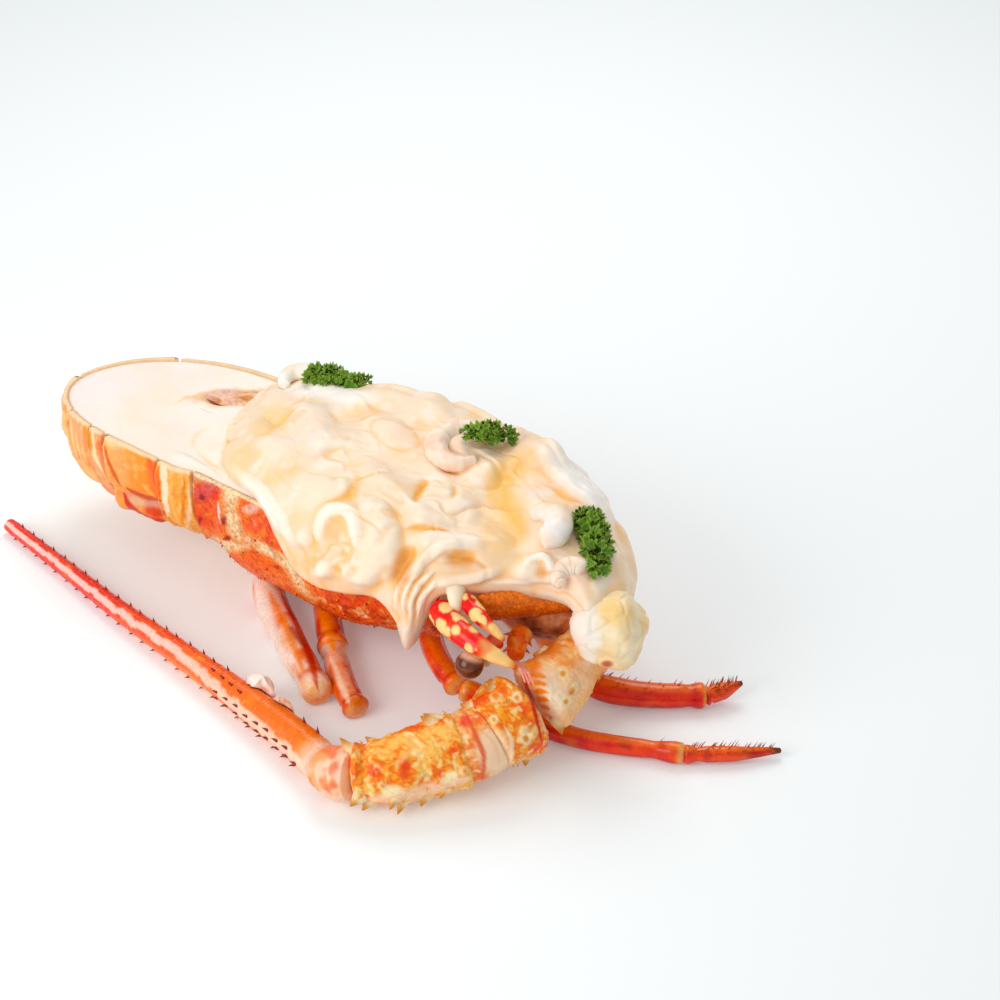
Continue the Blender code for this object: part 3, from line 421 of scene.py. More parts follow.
@dataclass
class Rod:
    """A round-ended rod through its keys.

    Its points are the path plus the ring of a given radius, in two directions square to the path; near an end
    the radius follows a quarter ellipse.
    """

    keys: tuple[Point, ...]
    radii: tuple[float, ...]
    rings: int = 60
    sides: int = 40
    tall: float = 1
    ends: Spot = (0.5, 0.5)

    def __post_init__(self) -> None:
        """Works out the path, its length and the two directions square to it."""
        dense = through(self.keys, 400)
        self.length = float(np.linalg.norm(np.diff(dense, axis=0), axis=1).sum())
        t = np.linspace(0, 1, self.rings)
        eased = 0.62 * t + 0.38 * (0.5 - 0.5 * np.cos(math.pi * t))
        self.share = 0.0015 + 0.997 * eased
        at = np.linspace(0, 1, 400)
        self.path = np.stack([np.interp(self.share, at, dense[:, i]) for i in range(3)], axis=1)
        self.ahead = unit(np.gradient(self.path, axis=0))
        self.across = unit(np.cross(self.ahead, UP))
        self.over = np.cross(self.across, self.ahead)
        self.angle = np.linspace(0, 2 * math.pi, self.sides, endpoint=False)

    def radius(self) -> Array:
        """The radius at each ring, with both ends rounded."""
        size = np.interp(self.share, np.linspace(0, 1, len(self.radii)), self.radii)
        first = np.clip(self.share * self.length / max(self.ends[0] * self.radii[0], 0.05), 0, 1)
        last = np.clip((1 - self.share) * self.length / max(self.ends[1] * self.radii[-1], 0.05), 0, 1)
        return size * np.sqrt(1 - (1 - first) ** 2) * np.sqrt(1 - (1 - last) ** 2)

    def grid(self, swell: Array | float = 0) -> Array:
        """The rings; swell is added to the radius and may differ from point to point.

        Args:
            swell: one amount, or one for each point.

        Returns:
            Rings by corners of points.
        """
        spoke = self.across[:, None, :] * np.cos(self.angle)[None, :, None]
        spoke = spoke + self.over[:, None, :] * np.sin(self.angle)[None, :, None] * self.tall
        size = self.radius()[:, None] + np.asarray(swell, float)
        size = np.broadcast_to(size, (self.rings, self.sides))
        return self.path[:, None, :] + spoke * np.maximum(size, 0.01)[..., None]

    def spots(self, places: Array) -> tuple[Array, Array, Array]:
        """Points on the surface, with their outward and forward directions.

        Args:
            places: rows of (share along the rod, angle round it in degrees).

        Returns:
            The points, their outward and their forward directions.
        """
        places = np.asarray(places, float)
        at = np.linspace(0, 1, self.rings)
        share = np.interp(places[:, 0], self.share, at) * (self.rings - 1)
        i = np.clip(np.round(share).astype(int), 0, self.rings - 1)
        turn = np.radians(places[:, 1])[:, None]
        out = unit(self.across[i] * np.cos(turn) + self.over[i] * np.sin(turn) * self.tall)
        return self.path[i] + out * self.radius()[i][:, None], out, self.ahead[i]


def ball_grid(centre: Point, radii: Point, rows: int, columns: int) -> Array:
    """Rings of an egg shape, from its top to its bottom.

    Args:
        centre: its middle.
        radii: its half widths along X, Y and Z.
        rows: how many rings.
        columns: how many corners each ring has.

    Returns:
        Rings by corners of points.
    """
    polar = np.linspace(0, math.pi, rows + 2)[1:-1, None]
    turn = np.linspace(0, 2 * math.pi, columns, endpoint=False)[None, :]
    way = np.stack([np.sin(polar) * np.cos(turn), np.sin(polar) * np.sin(turn), np.cos(polar) + 0 * turn], axis=-1)
    return np.asarray(centre) + way * np.asarray(radii)


def turned(points: Array, centre: Point, degrees: float) -> Array:
    """Points turned about the upright line through the centre.

    Args:
        points: what is turned.
        centre: a point on the line.
        degrees: the angle, to the left.

    Returns:
        The turned points.
    """
    c, s = math.cos(math.radians(degrees)), math.sin(math.radians(degrees))
    middle = np.asarray(centre, float)
    return (points - middle) @ np.array(((c, -s, 0), (s, c, 0), (0, 0, 1))).T + middle


# The camera, and marks placed by where they show in the picture


@dataclass(frozen=True)
class Lens:
    """The camera: it looks at the body from the back of the animal, a little from the head, and from above."""

    azimuth: float = 38
    elevation: float = 35
    focal: float = 85
    sensor: float = 36
    frame: float = 1000
    distance: float = 985
    origin: Spot = (400, 616)

    def axes(self) -> tuple[Array, Array, Array]:
        """The picture's right and up, and the way back to the camera."""
        a, e = math.radians(self.azimuth), math.radians(self.elevation)
        back = np.array((math.sin(a) * math.cos(e), -math.cos(a) * math.cos(e), math.sin(e)))
        right = np.array((math.cos(a), math.sin(a), 0))
        return right, np.cross(back, right), back

    def eye(self) -> Array:
        """Where the camera stands, so that the body's origin shows at its place in the picture."""
        right, up, back = self.axes()
        scale = self.focal / self.sensor * self.frame
        u = (self.origin[0] - self.frame / 2) / scale
        v = (self.frame / 2 - self.origin[1]) / scale
        return self.distance * (back - u * right - v * up)

    def picture(self, points: Array) -> Array:
        """The place in the picture of each point.

        Args:
            points: places in the body's frame.

        Returns:
            Each one's column and row, from the upper left corner.
        """
        right, up, back = self.axes()
        ray = points - self.eye()
        depth = -(ray @ back)
        scale = self.focal / self.sensor * self.frame
        half = self.frame / 2
        return np.stack([half + scale * (ray @ right) / depth, half - scale * (ray @ up) / depth], axis=-1)

    def facing(self, points: Array, normals: Array) -> Array:
        """1 where a surface faces the camera, falling to 0 where it turns away."""
        return smooth(-0.05, 0.22, (normals * unit(self.eye() - points)).sum(axis=-1))


class Kind(Enum):
    """How a mark shapes the surface beside its line."""

    ROLL = "a round roll that lies on the surface"
    GROOVE = "a hollow with soft sides"
    FLAP = "a sheet with a rounded edge along the line, high on its left"


@dataclass(frozen=True)
class Stroke:
    """A line on the surface, given by where it shows in the picture; width is in picture units, heights in mm."""

    kind: Kind
    line: tuple[Spot, ...]
    width: float
    height: float
    # How much painted shade the mark's fold gets, how far it is lifted, and how much painted highlight its top gets.
    fold_shade: float = 0
    lift: float = 0
    pale: float = 0

    def reach(self, spots: Array) -> tuple[Array, Array, Array]:
        """The distance to the line, which side of it each place is on, and the share along it.

        Args:
            spots: places in the picture.

        Returns:
            The distance, the side (1 or -1) and the share for each place.
        """
        line = through(np.array(self.line), max(8, 5 * len(self.line)))
        steps = np.diff(line, axis=0)
        best = np.full(spots.shape[:-1], 1e9)
        side = np.ones_like(best)
        share = np.zeros_like(best)
        near = (np.abs(spots - line.mean(axis=0)).max(axis=-1) < 4 * self.width + np.ptp(line, axis=0).max()).nonzero()
        spots = spots[near]
        for i, (start, step) in enumerate(zip(line[:-1], steps)):
            rel = spots - start
            t = np.clip((rel @ step) / max(step @ step, 1e-9), 0, 1)
            gap = np.linalg.norm(rel - t[..., None] * step, axis=-1)
            closer = gap < best[near]
            cross = step[0] * rel[..., 1] - step[1] * rel[..., 0]
            best[near] = np.where(closer, gap, best[near])
            side[near] = np.where(closer, np.where(cross < 0, 1, -1), side[near])
            share[near] = np.where(closer, (i + t) / len(steps), share[near])
        return best, side, share

    def lay(self, spots: Array, height: Array) -> tuple[Array, Array, Array]:
        """The surface with this mark laid on it.

        A roll is a half circle blended with what lies there by a soft maximum. A groove is a bell cut out. A flap
        rises in a quarter circle from its line and falls away slowly behind it. All three taper to their ends.

        Args:
            spots: the places in the picture.
            height: the heights before this mark.

        Returns:
            The heights with the mark, the painted shade of the fold it makes, and its painted highlight.
        """
        gap, side, share = self.reach(spots)
        fade = smooth(0, 0.3, share) * smooth(1, 0.7, share)
        r = gap / (self.width * (0.4 + 0.6 * fade))
        if self.kind is Kind.ROLL:
            dome = np.sqrt(np.clip(1 - r**2, 0, 1))
            own = (self.lift + self.height * dome) * fade - 2.2 * (1 - fade) - 1.6 * self.height * np.clip(r - 1, 0, 9)
            foot = bump(r, 1.05, 0.25) * fade * (own > height - 1.2)
            return soft_max(height, own, 0.3 + 0.25 * self.height), self.fold_shade * foot, self.pale * dome * fade
        if self.kind is Kind.GROOVE:
            cut = 0.65 * np.exp(-(r**2)) + 0.35 * np.exp(-3 * r)
            return height - self.height * cut * fade, self.fold_shade * np.exp(-(r**2)) * fade, 0 * r
        over = np.where(side > 0, np.clip(r, 0, 1), 0)
        edge = np.sqrt(1 - (1 - over) ** 2) * np.exp(-((np.clip(r - 1, 0, 99) / 2.6) ** 2))
        under = np.where(side > 0, 0, np.exp(-r))
        lift = self.height * (edge * (side > 0) - 0.4 * under) * fade
        fold = np.exp(-r * np.where(side > 0, 3, 1)) * fade
        return height + lift, self.fold_shade * fold, self.pale * edge * (side > 0) * fade

    def mask(self, spots: Array) -> Array:
        """1 on the line, falling away beside it."""
        gap, _, share = self.reach(spots)
        return np.exp(-((gap / self.width) ** 2)) * np.clip(np.sin(math.pi * np.clip(share, 0.05, 0.95)), 0, 1) ** 0.4


@dataclass(frozen=True)
class Mound:
    """An oval swelling, half an egg, given by where it shows in the picture."""

    middle: Spot
    radii: Spot
    turn: float = 0
    height: float = 0
    # How much painted shade the swelling's foot gets, how far it is lifted, and how much painted highlight its top
    # gets.
    fold_shade: float = 0
    lift: float = 0
    pale: float = 0

    def share(self, spots: Array) -> Array:
        """The distance from the middle, where 1 is the oval's edge.

        Args:
            spots: places in the picture.

        Returns:
            The distance of each place.
        """
        a = math.radians(self.turn)
        rel = spots - np.array(self.middle)
        x = rel[..., 0] * math.cos(a) + rel[..., 1] * math.sin(a)
        y = -rel[..., 0] * math.sin(a) + rel[..., 1] * math.cos(a)
        return np.sqrt((x / self.radii[0]) ** 2 + (y / self.radii[1]) ** 2)

    def lay(self, spots: Array, height: Array) -> tuple[Array, Array, Array]:
        """The heights with the swelling laid on them, the painted shade at its foot, and its painted highlight.

        Args:
            spots: places in the picture.
            height: the heights before this mark.

        Returns:
            The heights, the painted fold shade and the painted highlight at each place.
        """
        r = self.share(spots)
        dome = np.clip(1 - r**2, 0, 1) ** 0.7
        own = self.lift + self.height * dome - 2 * self.height * np.clip(r - 1, 0, 9)
        foot = bump(r, 1, 0.16) * (own > height - 1.2)
        return soft_max(height, own, 0.6 + 0.35 * self.height), self.fold_shade * foot, self.pale * dome


def settled(field_: Array, passes: int) -> Array:
    """A field on a ring grid, evened out: each pass blends each value with its four neighbours.

    Args:
        field_: rings by corners of values.
        passes: how often it is done.

    Returns:
        The evened values.
    """
    level = field_.copy()
    for _ in range(passes):
        side = 0.5 * (np.roll(level, 1, axis=1) + np.roll(level, -1, axis=1))
        padded = np.concatenate([level[:1], level, level[-1:]])
        level = 0.34 * level + 0.33 * side + 0.165 * (padded[:-2] + padded[2:])
    return level


# Short names for the three kinds of stroke.
roll, groove, flap = (partial(Stroke, kind) for kind in Kind)


@dataclass(frozen=True)
class Patch:
    """A patch of colour, given by an oval or a line in the picture; edge is how soft it ends."""

    shape: Stroke | Mound
    shade: Shade
    share: float
    edge: float

    def over(self, colour: Array, spots: Array, amount: Array | float = 1) -> Array:
        """The colour with this patch laid over it.

        Args:
            colour: the colours under it.
            spots: their places in the picture.
            amount: how much of the patch shows.

        Returns:
            The colours with the patch.
        """
        if isinstance(self.shape, Mound):
            far = self.shape.share(spots)
        else:
            gap, _, along = self.shape.reach(spots)
            far = gap / (self.shape.width * np.sqrt(np.clip(4 * along * (1 - along), 0.05, 1)))
        return tint(colour, self.shade, self.share * amount * smooth(1 + self.edge, 1 - self.edge, far))


def streak(line: tuple[Spot, ...], width: float, shade: Shade, share: float = 0.9, edge: float = 0.5) -> Patch:
    """A patch of colour along a line."""
    return Patch(groove(line, width, 0), shade, share, edge)


def blot(middle: Spot, radii: Spot, turn: float, shade: Shade, share: float = 0.9, edge: float = 0.5) -> Patch:
    """An oval patch of colour."""
    return Patch(Mound(middle, radii, turn), shade, share, edge)


# Finishes


@dataclass
class Wiring:
    """A material's node tree, with short ways to add nodes to it."""

    tree: bpy.types.NodeTree

    def feed(self, node: bpy.types.Node, inputs: dict[str | int, Any]) -> None:
        """Sets a node's inputs.

        Args:
            node: the node.
            inputs: for each input's name or number, its value or the output that it is linked to.
        """
        for name, value in inputs.items():
            if isinstance(value, bpy.types.NodeSocket):
                self.tree.links.new(value, node.inputs[name])
            else:
                node.inputs[name].default_value = value

    def add(self, kind: str, inputs: dict[str | int, Any] | None = None, **settings: str) -> bpy.types.Node:
        """A new node.

        Args:
            kind: the last part of its type's name.
            inputs: what goes into it, as for feed.
            **settings: its own settings.

        Returns:
            The node.
        """
        node = self.tree.nodes.new(f"ShaderNode{kind}")
        for name, value in settings.items():
            setattr(node, name, value)
        self.feed(node, inputs or {})
        return node

    def noise(self, place: bpy.types.NodeSocket, size: float, detail: float) -> bpy.types.NodeSocket:
        """A noise texture on object coordinates whose lumps are about size millimetres across."""
        return self.add("TexNoise", {"Vector": place, "Scale": 0.6 / (size * MM), "Detail": detail}).outputs["Fac"]

    def ranged(self, noise: bpy.types.NodeSocket, source: Spot, target: Spot) -> bpy.types.NodeSocket:
        """The noise brought from the source range to the target range."""
        ends = dict(zip(("From Min", "From Max", "To Min", "To Max"), (*source, *target)))
        return self.add("MapRange", {**ends, "Value": noise}).outputs["Result"]


@dataclass(frozen=True)
class Finish:
    """A moist surface: the piece's own colours with finer mottling, specks, grain and uneven gloss."""

    name: str
    roughness: float
    grain: float
    grain_depth: float
    mottle: float = 0.08
    mottle_size: float = 3
    speck: float = 0
    speck_size: float = 1
    sink: float = 0
    sink_depth: float = 2
    coat: float = 0
    rich: float = 1
    level: float = 0.3

    def build(self) -> bpy.types.Material:
        """The material: the colour attribute times noise and dark specks, with a bump and a varying roughness.

        Returns:
            The new material.
        """
        material = bpy.data.materials.new(self.name)
        material.use_nodes = True
        wiring = Wiring(material.node_tree)
        place = wiring.add("TexCoord").outputs["Object"]
        skin = wiring.add("Attribute", attribute_name="skin").outputs["Color"]
        mottle = wiring.noise(place, self.mottle_size, 4)
        wide = wiring.ranged(mottle, (0.2, 0.8), (1 - self.mottle, 1 + self.mottle))
        dark = wiring.ranged(wiring.noise(place, self.speck_size, 2), (0.36, 0.6), (1 - self.speck, 1))
        both = wiring.add("Math", {0: wide, 1: dark}, operation="MULTIPLY").outputs["Value"]
        shade = wiring.add("VectorMath", {0: skin, "Scale": both}, operation="SCALE").outputs["Vector"]
        grain = wiring.noise(place, self.grain, 3)
        relief = wiring.add("Bump", {"Strength": 1, "Distance": self.grain_depth * MM, "Height": grain})
        gloss = (max(0.05, self.roughness - 0.1), min(1, self.roughness + 0.12))
        wiring.feed(material.node_tree.nodes["Principled BSDF"], {
            "Base Color": shade,
            "Normal": relief.outputs["Normal"],
            "Roughness": wiring.ranged(mottle, (0.2, 0.8), gloss),
            "Specular IOR Level": self.level,
            "Subsurface Weight": self.sink,
            "Subsurface Scale": self.sink_depth * MM,
            "Subsurface Radius": (1, 0.55, 0.25),
            "Coat Weight": self.coat,
            "Coat Roughness": 0.1,
        })
        return material


@dataclass(frozen=True)
class Finishes:
    """Every finish of the dish, named for what it covers."""

    flesh: Finish = Finish("wet_flesh", 0.45, 1.2, 0.08, 0.02, 9, sink=0.2, sink_depth=2.5)
    tissue: Finish = Finish("gut_tissue", 0.4, 0.8, 0.22, 0.16, 2, 0.2, 1.2)
    tail: Finish = Finish("tail_hoop_shell", 0.36, 0.5, 0.06, 0.06, 4, 0.1, 0.8, coat=0.06, rich=1.15)
    chest: Finish = Finish("pebbled_chest_shell", 0.4, 0.45, 0.1, 0.1, 2.2, 0.34, 0.75, coat=0.06, rich=1.26)
    horn: Finish = Finish("red_horn_shell", 0.24, 0.6, 0.03, 0.04, 3, coat=0.2, rich=1.15)
    knob: Finish = Finish("knobbly_antenna_shell", 0.38, 0.5, 0.08, 0.08, 2, 0.1, 0.8, coat=0.05, rich=1.2)
    skin: Finish = Finish("soft_joint_skin", 0.42, 0.9, 0.06, 0.06, 3, sink=0.2, sink_depth=1.5)
    leg: Finish = Finish("glossy_leg_shell", 0.22, 0.5, 0.04, 0.09, 4, 0.14, 0.9, coat=0.22, rich=1.24)
    eye: Finish = Finish("dark_eye", 0.16, 0.3, 0.02, 0.1, 1, coat=0.4)
    sauce: Finish = Finish("cream_sauce", 0.34, 1.4, 0.03, 0.015, 6, sink=0.25, sink_depth=3, coat=0.05, rich=1.16)
    shrimp: Finish = Finish("cooked_shrimp", 0.34, 1, 0.04, 0.03, 3, sink=0.25, sink_depth=2.5, coat=0.05)
    leaf: Finish = Finish("parsley_leaf", 0.5, 0.5, 0.08, 0.2, 1.6)


COVER = Finishes()


class Kitchen:
    """Makes pieces from parts, and keeps each finish's material so that it is built once."""

    def __init__(self) -> None:
        """Starts with no material built and no triangle counted."""
        self.built: dict[str, bpy.types.Material] = {}
        self.triangles = 0

    def material(self, finish: Finish) -> bpy.types.Material:
        """The finish's material."""
        if finish.name not in self.built:
            self.built[finish.name] = finish.build()
        return self.built[finish.name]

    def piece(self, name: str, part: Part, finish: Finish, slot: str, *nodes: str) -> bpy.types.Object:
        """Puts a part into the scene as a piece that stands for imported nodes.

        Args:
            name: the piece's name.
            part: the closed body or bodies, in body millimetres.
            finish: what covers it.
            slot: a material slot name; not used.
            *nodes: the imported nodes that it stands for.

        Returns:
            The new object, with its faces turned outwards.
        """
        points = part.points.copy()
        points[:, 2] = np.maximum(points[:, 2], FLOOR_LIFT)
        corners = [part.quads.ravel(), part.triangles.ravel(), *part.ends]
        sizes = np.array([4] * len(part.quads) + [3] * len(part.triangles) + [len(end) for end in part.ends])
        starts = np.concatenate([[0], np.cumsum(sizes)[:-1]]).astype(np.int32)
        loops = np.concatenate(corners).astype(np.int32)
        if self.volume(points, part) < 0:
            loops, starts = self.reversed_faces(loops, starts)
        mesh = bpy.data.meshes.new(name)
        mesh.vertices.add(len(points))
        mesh.vertices.foreach_set("co", ((points + BODY_SHIFT) * MM).ravel())
        mesh.loops.add(len(loops))
        mesh.loops.foreach_set("vertex_index", loops)
        mesh.polygons.add(len(starts))
        mesh.polygons.foreach_set("loop_start", starts)
        mesh.update(calc_edges=True)
        mesh.validate()
        mesh.shade_smooth()
        colour = mesh.attributes.new("skin", "FLOAT_COLOR", "POINT")
        grey = part.colour @ np.array((0.3, 0.5, 0.2))
        tints = grey[:, None] + (part.colour - grey[:, None]) * finish.rich
        rgba = np.concatenate([np.clip(tints, 0, 1), np.ones((len(tints), 1))], axis=1)
        colour.data.foreach_set("color", rgba.ravel())
        mesh.materials.append(self.material(finish))
        obj = bpy.data.objects.new(name, mesh)
        bpy.context.scene.collection.objects.link(obj)
        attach(obj, "root")
        if nodes:
            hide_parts(*nodes)
        LOG.info("%s: %d triangles", name, int((sizes - 2).sum()))
        self.triangles += int((sizes - 2).sum())
        return obj

    @staticmethod
    def volume(points: Array, part: Part) -> float:
        """The signed volume inside the faces, from the triangles that fan from each face's first corner.

        Args:
            points: the part's points.
            part: its faces.

        Returns:
            The volume, below 0 where the faces look inwards.
        """
        fans = [part.quads[:, (0, 1, 2)], part.quads[:, (0, 2, 3)], part.triangles]
        fans += [np.stack([np.full(len(e) - 2, e[0]), e[1:-1], e[2:]], axis=-1) for e in part.ends]
        a, b, c = (points[np.concatenate(fans)][:, i] for i in range(3))
        return float(np.einsum("ij,ij->i", a, np.cross(b, c)).sum() / 6)

    @staticmethod
    def reversed_faces(loops: Array, starts: Array) -> tuple[Array, Array]:
        """Every face with its corners in the other order: the whole list is reversed, and so are the faces."""
        sizes = np.diff(np.append(starts, len(loops)))[::-1]
        return loops[::-1].copy(), np.concatenate([[0], np.cumsum(sizes)[:-1]]).astype(np.int32)


# The body: a rim on the cut face, and walls that curve in under it


@dataclass(frozen=True)
class BodyForm:
    """The rim of the cut face and the walls under it, as in the solids."""

    cut_z: float = 60
    tail_middle: Spot = (-105, -0.7)
    tail_length: float = 59
    half_width: float = 37.5
    skew: float = 0.45
    power: float = 2.2
    head_x: float = 48
    fan_x: float = -112
    tail_depth: float = 39
    chest_depth: float = 46.5
    neck_depth: float = 35
    corner: float = 0.64
    gap: float = 0.6
    thick: float = 2.3

    def back_start(self) -> float:
        """X where the back's straight rim meets the rounded tail."""
        return self.tail_middle[0] - self.skew * self.half_width

    def belly_start(self) -> float:
        """X where the belly's rim meets the rounded tail."""
        return self.tail_middle[0] + self.skew * self.half_width

    def front_rim(self, x: Array) -> Array:
        """Y of the rim on the back of the animal."""
        return self.tail_middle[1] - self.half_width + 2.8 * smooth(-88, -74, x) + 6.5 * smooth(0, 52, x)

    def belly_rim(self, x: Array) -> Array:
        """Y of the rim on the belly side."""
        return self.tail_middle[1] + self.half_width + 7.9 * smooth(-80, -20, x) - 3 * smooth(20, 50, x)

    def rim_at(self, u: Array) -> Array:
        """The rim: u is 0 to 1 along the back, 1 to 2 round the tail (a skewed oval), 2 to 3 along the belly.

        Args:
            u: places along the rim.

        Returns:
            X and Y of each place.
        """
        u = np.asarray(u, float)
        along = np.clip(u, 0, 1)
        front_x = self.head_x + (self.back_start() - self.head_x) * along
        turn = (np.clip(u - 1, 0, 1) - 0.5) * math.pi
        power = 2 / self.power
        side = self.half_width * np.sign(np.sin(turn)) * np.abs(np.sin(turn)) ** power
        tip_x = self.tail_middle[0] - self.tail_length * np.clip(np.cos(turn), 0, 1) ** power + self.skew * side
        belly_x = self.belly_start() + (self.head_x - self.belly_start()) * np.clip(u - 2, 0, 1)
        x = np.where(u <= 1, front_x, np.where(u <= 2, tip_x, belly_x))
        tip_y = self.tail_middle[1] + side
        y = np.where(u <= 1, self.front_rim(front_x), np.where(u <= 2, tip_y, self.belly_rim(belly_x)))
        return np.stack([x, y], axis=-1)

    def rim_way(self, u: Array) -> Array:
        """The rim's outward direction."""
        step = 0.004
        along = unit(self.rim_at(np.clip(u + step, 0, 3)) - self.rim_at(np.clip(u - step, 0, 3)))
        return np.stack([-along[..., 1], along[..., 0]], axis=-1)

    def front_u(self, x: Array) -> Array:
        """Where along the rim, on the back of the animal, a given x lies."""
        return (self.head_x - x) / (self.head_x - self.back_start())

    def belly_u(self, x: Array) -> Array:
        """Where along the rim, on the belly side, a given x lies."""
        return 2 + (x - self.belly_start()) / (self.head_x - self.belly_start())

    def depth_at(self, x: Array) -> Array:
        """How far the flesh reaches below the cut face."""
        chest = self.tail_depth + (self.chest_depth - self.tail_depth) * smooth(-80, -46, x)
        return chest + (self.neck_depth - self.chest_depth) * smooth(-8, 46, x)

    def wall(self, u: Array, down: Array, off: Array | float = 0) -> Array:
        """Points of the side: a rounded square arc from the rim, down 0, to the underside, down 1.

        Args:
            u: places along the rim.
            down: how far down the wall.
            off: how far outside the flesh.

        Returns:
            The points.
        """
        u, down, off = np.broadcast_arrays(np.asarray(u, float), np.asarray(down, float), np.asarray(off, float))
        rim = self.rim_at(u) + self.rim_way(u) * off[..., None]
        hub_x = np.maximum(rim[..., 0], self.fan_x)
        angle = down * math.pi / 2
        swell = 0.02 + 0.13 * smooth(-84, -50, hub_x)
        reach = np.clip(np.cos(angle), 0, 1) ** self.corner * (1 + swell * np.sin(2 * angle))
        fall = np.sin(angle) ** self.corner
        x = hub_x + (rim[..., 0] - hub_x) * reach
        z = self.cut_z - (self.depth_at(hub_x) + off) * fall
        return np.stack([x, rim[..., 1] * reach, z], axis=-1)

    def even_down(self, x: float, low: float, high: float, count: int) -> Array:
        """Values of down that are evenly spaced along the wall's own arc.

        Args:
            x: where along the body.
            low: the first value.
            high: the last one.
            count: how many values.

        Returns:
            The values.
        """
        down = np.linspace(low, high, 400)
        arc = self.wall(np.full(400, self.front_u(np.array(x))), down)
        reach = np.concatenate([[0], np.cumsum(np.linalg.norm(np.diff(arc, axis=0), axis=1))])
        return np.interp(np.linspace(0, reach[-1], count), reach, down)


@dataclass
class Maker:
    """A sub-assembly: it shapes its own pieces, dresses them and hands them to the kitchen."""

    kitchen: Kitchen
    form: BodyForm
    lens: Lens
    marks: tuple[Patch, ...] = ()

    def marked(self, colour: Array, spots: Array, face: Array | float = 1) -> Array:
        """The colour with every mark laid over it where the surface faces the camera.

        Args:
            colour: the colours under the marks.
            spots: their places in the picture.
            face: 1 where the surface faces the camera.

        Returns:
            The colours with the marks.
        """
        for patch in self.marks:
            colour = patch.over(colour, spots, face)
        return colour


@dataclass
class Meat(Maker):
    """The white flesh, flat on the cut face, and the brownish tissue in its slit."""

    columns: int = 360
    slit: Mound = Mound((241, 397), (38, 7.5), -1, 1)
    # Thin splits in the flesh beside the sauce.
    cracks: tuple[Stroke, ...] = (
        groove(((192, 447), (196, 435), (206, 429)), 1.6, 0.5),
        groove(((198, 452), (210, 462), (222, 470)), 2, 0.6),
        roll(((158, 449), (182, 458), (206, 471), (232, 489)), 4.5, 1.4),
        groove(((176, 404), (190, 396), (202, 398)), 1.4, 0.3),
    )

    def build(self) -> None:
        """Makes the flesh and the tissue."""
        form = self.form
        third = self.columns // 3
        spans = [np.linspace(i, i + 1, third, endpoint=i == 2) for i in range(3)]
        u = np.concatenate(spans)[None, :]
        rim = form.rim_at(u)
        hub = np.stack([np.maximum(rim[..., 0], form.fan_x), 0 * rim[..., 1]], axis=-1)
        share = np.concatenate([[0.004], np.linspace(0.02, 1, 70)])[:, None, None]
        flat = hub + (rim - hub) * share
        top = np.concatenate([flat, np.full((*flat.shape[:2], 1), form.cut_z)], axis=-1)
        down = np.concatenate([np.linspace(0.01, 0.1, 5), np.linspace(0.16, 0.95, 10)])[:, None]
        side = form.wall(u, down)
        top, colour = self.dress(top, share[..., 0])
        side_colour = np.broadcast_to(tone(250, 226, 200), side.shape)
        rings = np.concatenate([top, side])
        part = tubes(rings[None], np.concatenate([colour, side_colour]))
        self.kitchen.piece("tail_flesh", part, COVER.flesh, "lobster_meat", "meat")
        self.build_tissue()

    def dress(self, top: Array, share: Array) -> tuple[Array, Array]:
        """Relief and colour of the cut face: soft swellings, splits, the slit, and a rounded rim.

        Args:
            top: the flat points.
            share: how far out from the middle line each ring lies.

        Returns:
            The points with relief, and their colours.
        """
        spots = self.lens.picture(top)
        soft = Noise(3).value(top, 26)
        fine = Noise(4).layered(top, 7, 3)
        lift = 0.35 * soft + 0.16 * fine - 0.8 * smooth(0.955, 1, share)
        yellow = np.zeros_like(soft)
        for stroke in self.cracks:
            lift = stroke.lay(spots, lift)[0]
            yellow = yellow + (0.6 * stroke.mask(spots) if stroke.kind is Kind.GROOVE else 0)
        hole = self.slit.share(spots + 1.6 * Noise(5).value(top, 5)[..., None])
        lift = lift - 4.2 * smooth(1.12, 0.55, hole)
        colour = tint((252, 242, 229), (251, 234, 219), smooth(-0.4, 0.8, soft))
        colour = tint(colour, (254, 238, 234), smooth(-120, -160, top[..., 0]) * 0.8)
        colour = tint(colour, (249, 229, 190), 0.5 * smooth(0.1, 0.7, Noise(6).layered(top, 22, 3)))
        colour = tint(colour, (243, 208, 120), np.clip(yellow, 0, 0.7))
        colour = tint(colour, (250, 226, 208), 0.5 * smooth(0.9, 1, share))
        ragged = 0.25 * Noise(8).value(top, 3)
        colour = tint(colour, (246, 190, 130), smooth(1.5 + ragged, 0.9 + ragged, hole) * 0.75)
        colour = tint(colour, (224, 140, 70), smooth(1.05, 0.7, hole + ragged) * 0.8)
        return top + UP * lift[..., None], colour

    def build_tissue(self) -> None:
        """Ragged tissue lying in the slit: an egg shape roughened by layered noise and flattened on top."""
        middle = (-99, 17, self.form.cut_z - 1.2)
        grid = turned(ball_grid(middle, (20, 6, 2.2), 40, 100), middle, 20)
        rough = Noise(11).layered(grid, 3.4, 4, 0.65)
        strand = Noise(12).value(grid, (9, 1.6, 3))
        grid = grid + grid_normals(grid, True) * (0.8 * rough + 0.5 * strand)[..., None]
        grid[..., 2] = np.minimum(grid[..., 2], self.form.cut_z + 0.6)
        colour = tint((232, 146, 70), (250, 206, 160), smooth(-0.25, 0.5, rough))
        colour = tint(colour, (196, 96, 34), 0.7 * smooth(0.15, 0.6, -strand))
        colour = tint(colour, (252, 212, 196), 0.7 * smooth(-0.1, 0.3, Noise(13).value(grid, 9)))
        self.kitchen.piece("fold_tissue_shreds", ring_body(grid, colour), COVER.tissue, "fold_tissue", "fold_tissue")


@dataclass(frozen=True)
class BandLook:
    """One hoop of the tail: its colours towards the chest and the tail, how stripy, grainy and lumpy it is.

    Pinch is how much narrower it gets at its foot, and rows is how many lines of points cross it.
    """

    near: Shade
    far: Shade
    stripes: float = 0
    pebbles: float = 0.12
    foot: float = 0.5
    has_saddle: bool = False
    lumps: float = 0
    pinch: float = 0.42
    rows: int = 60


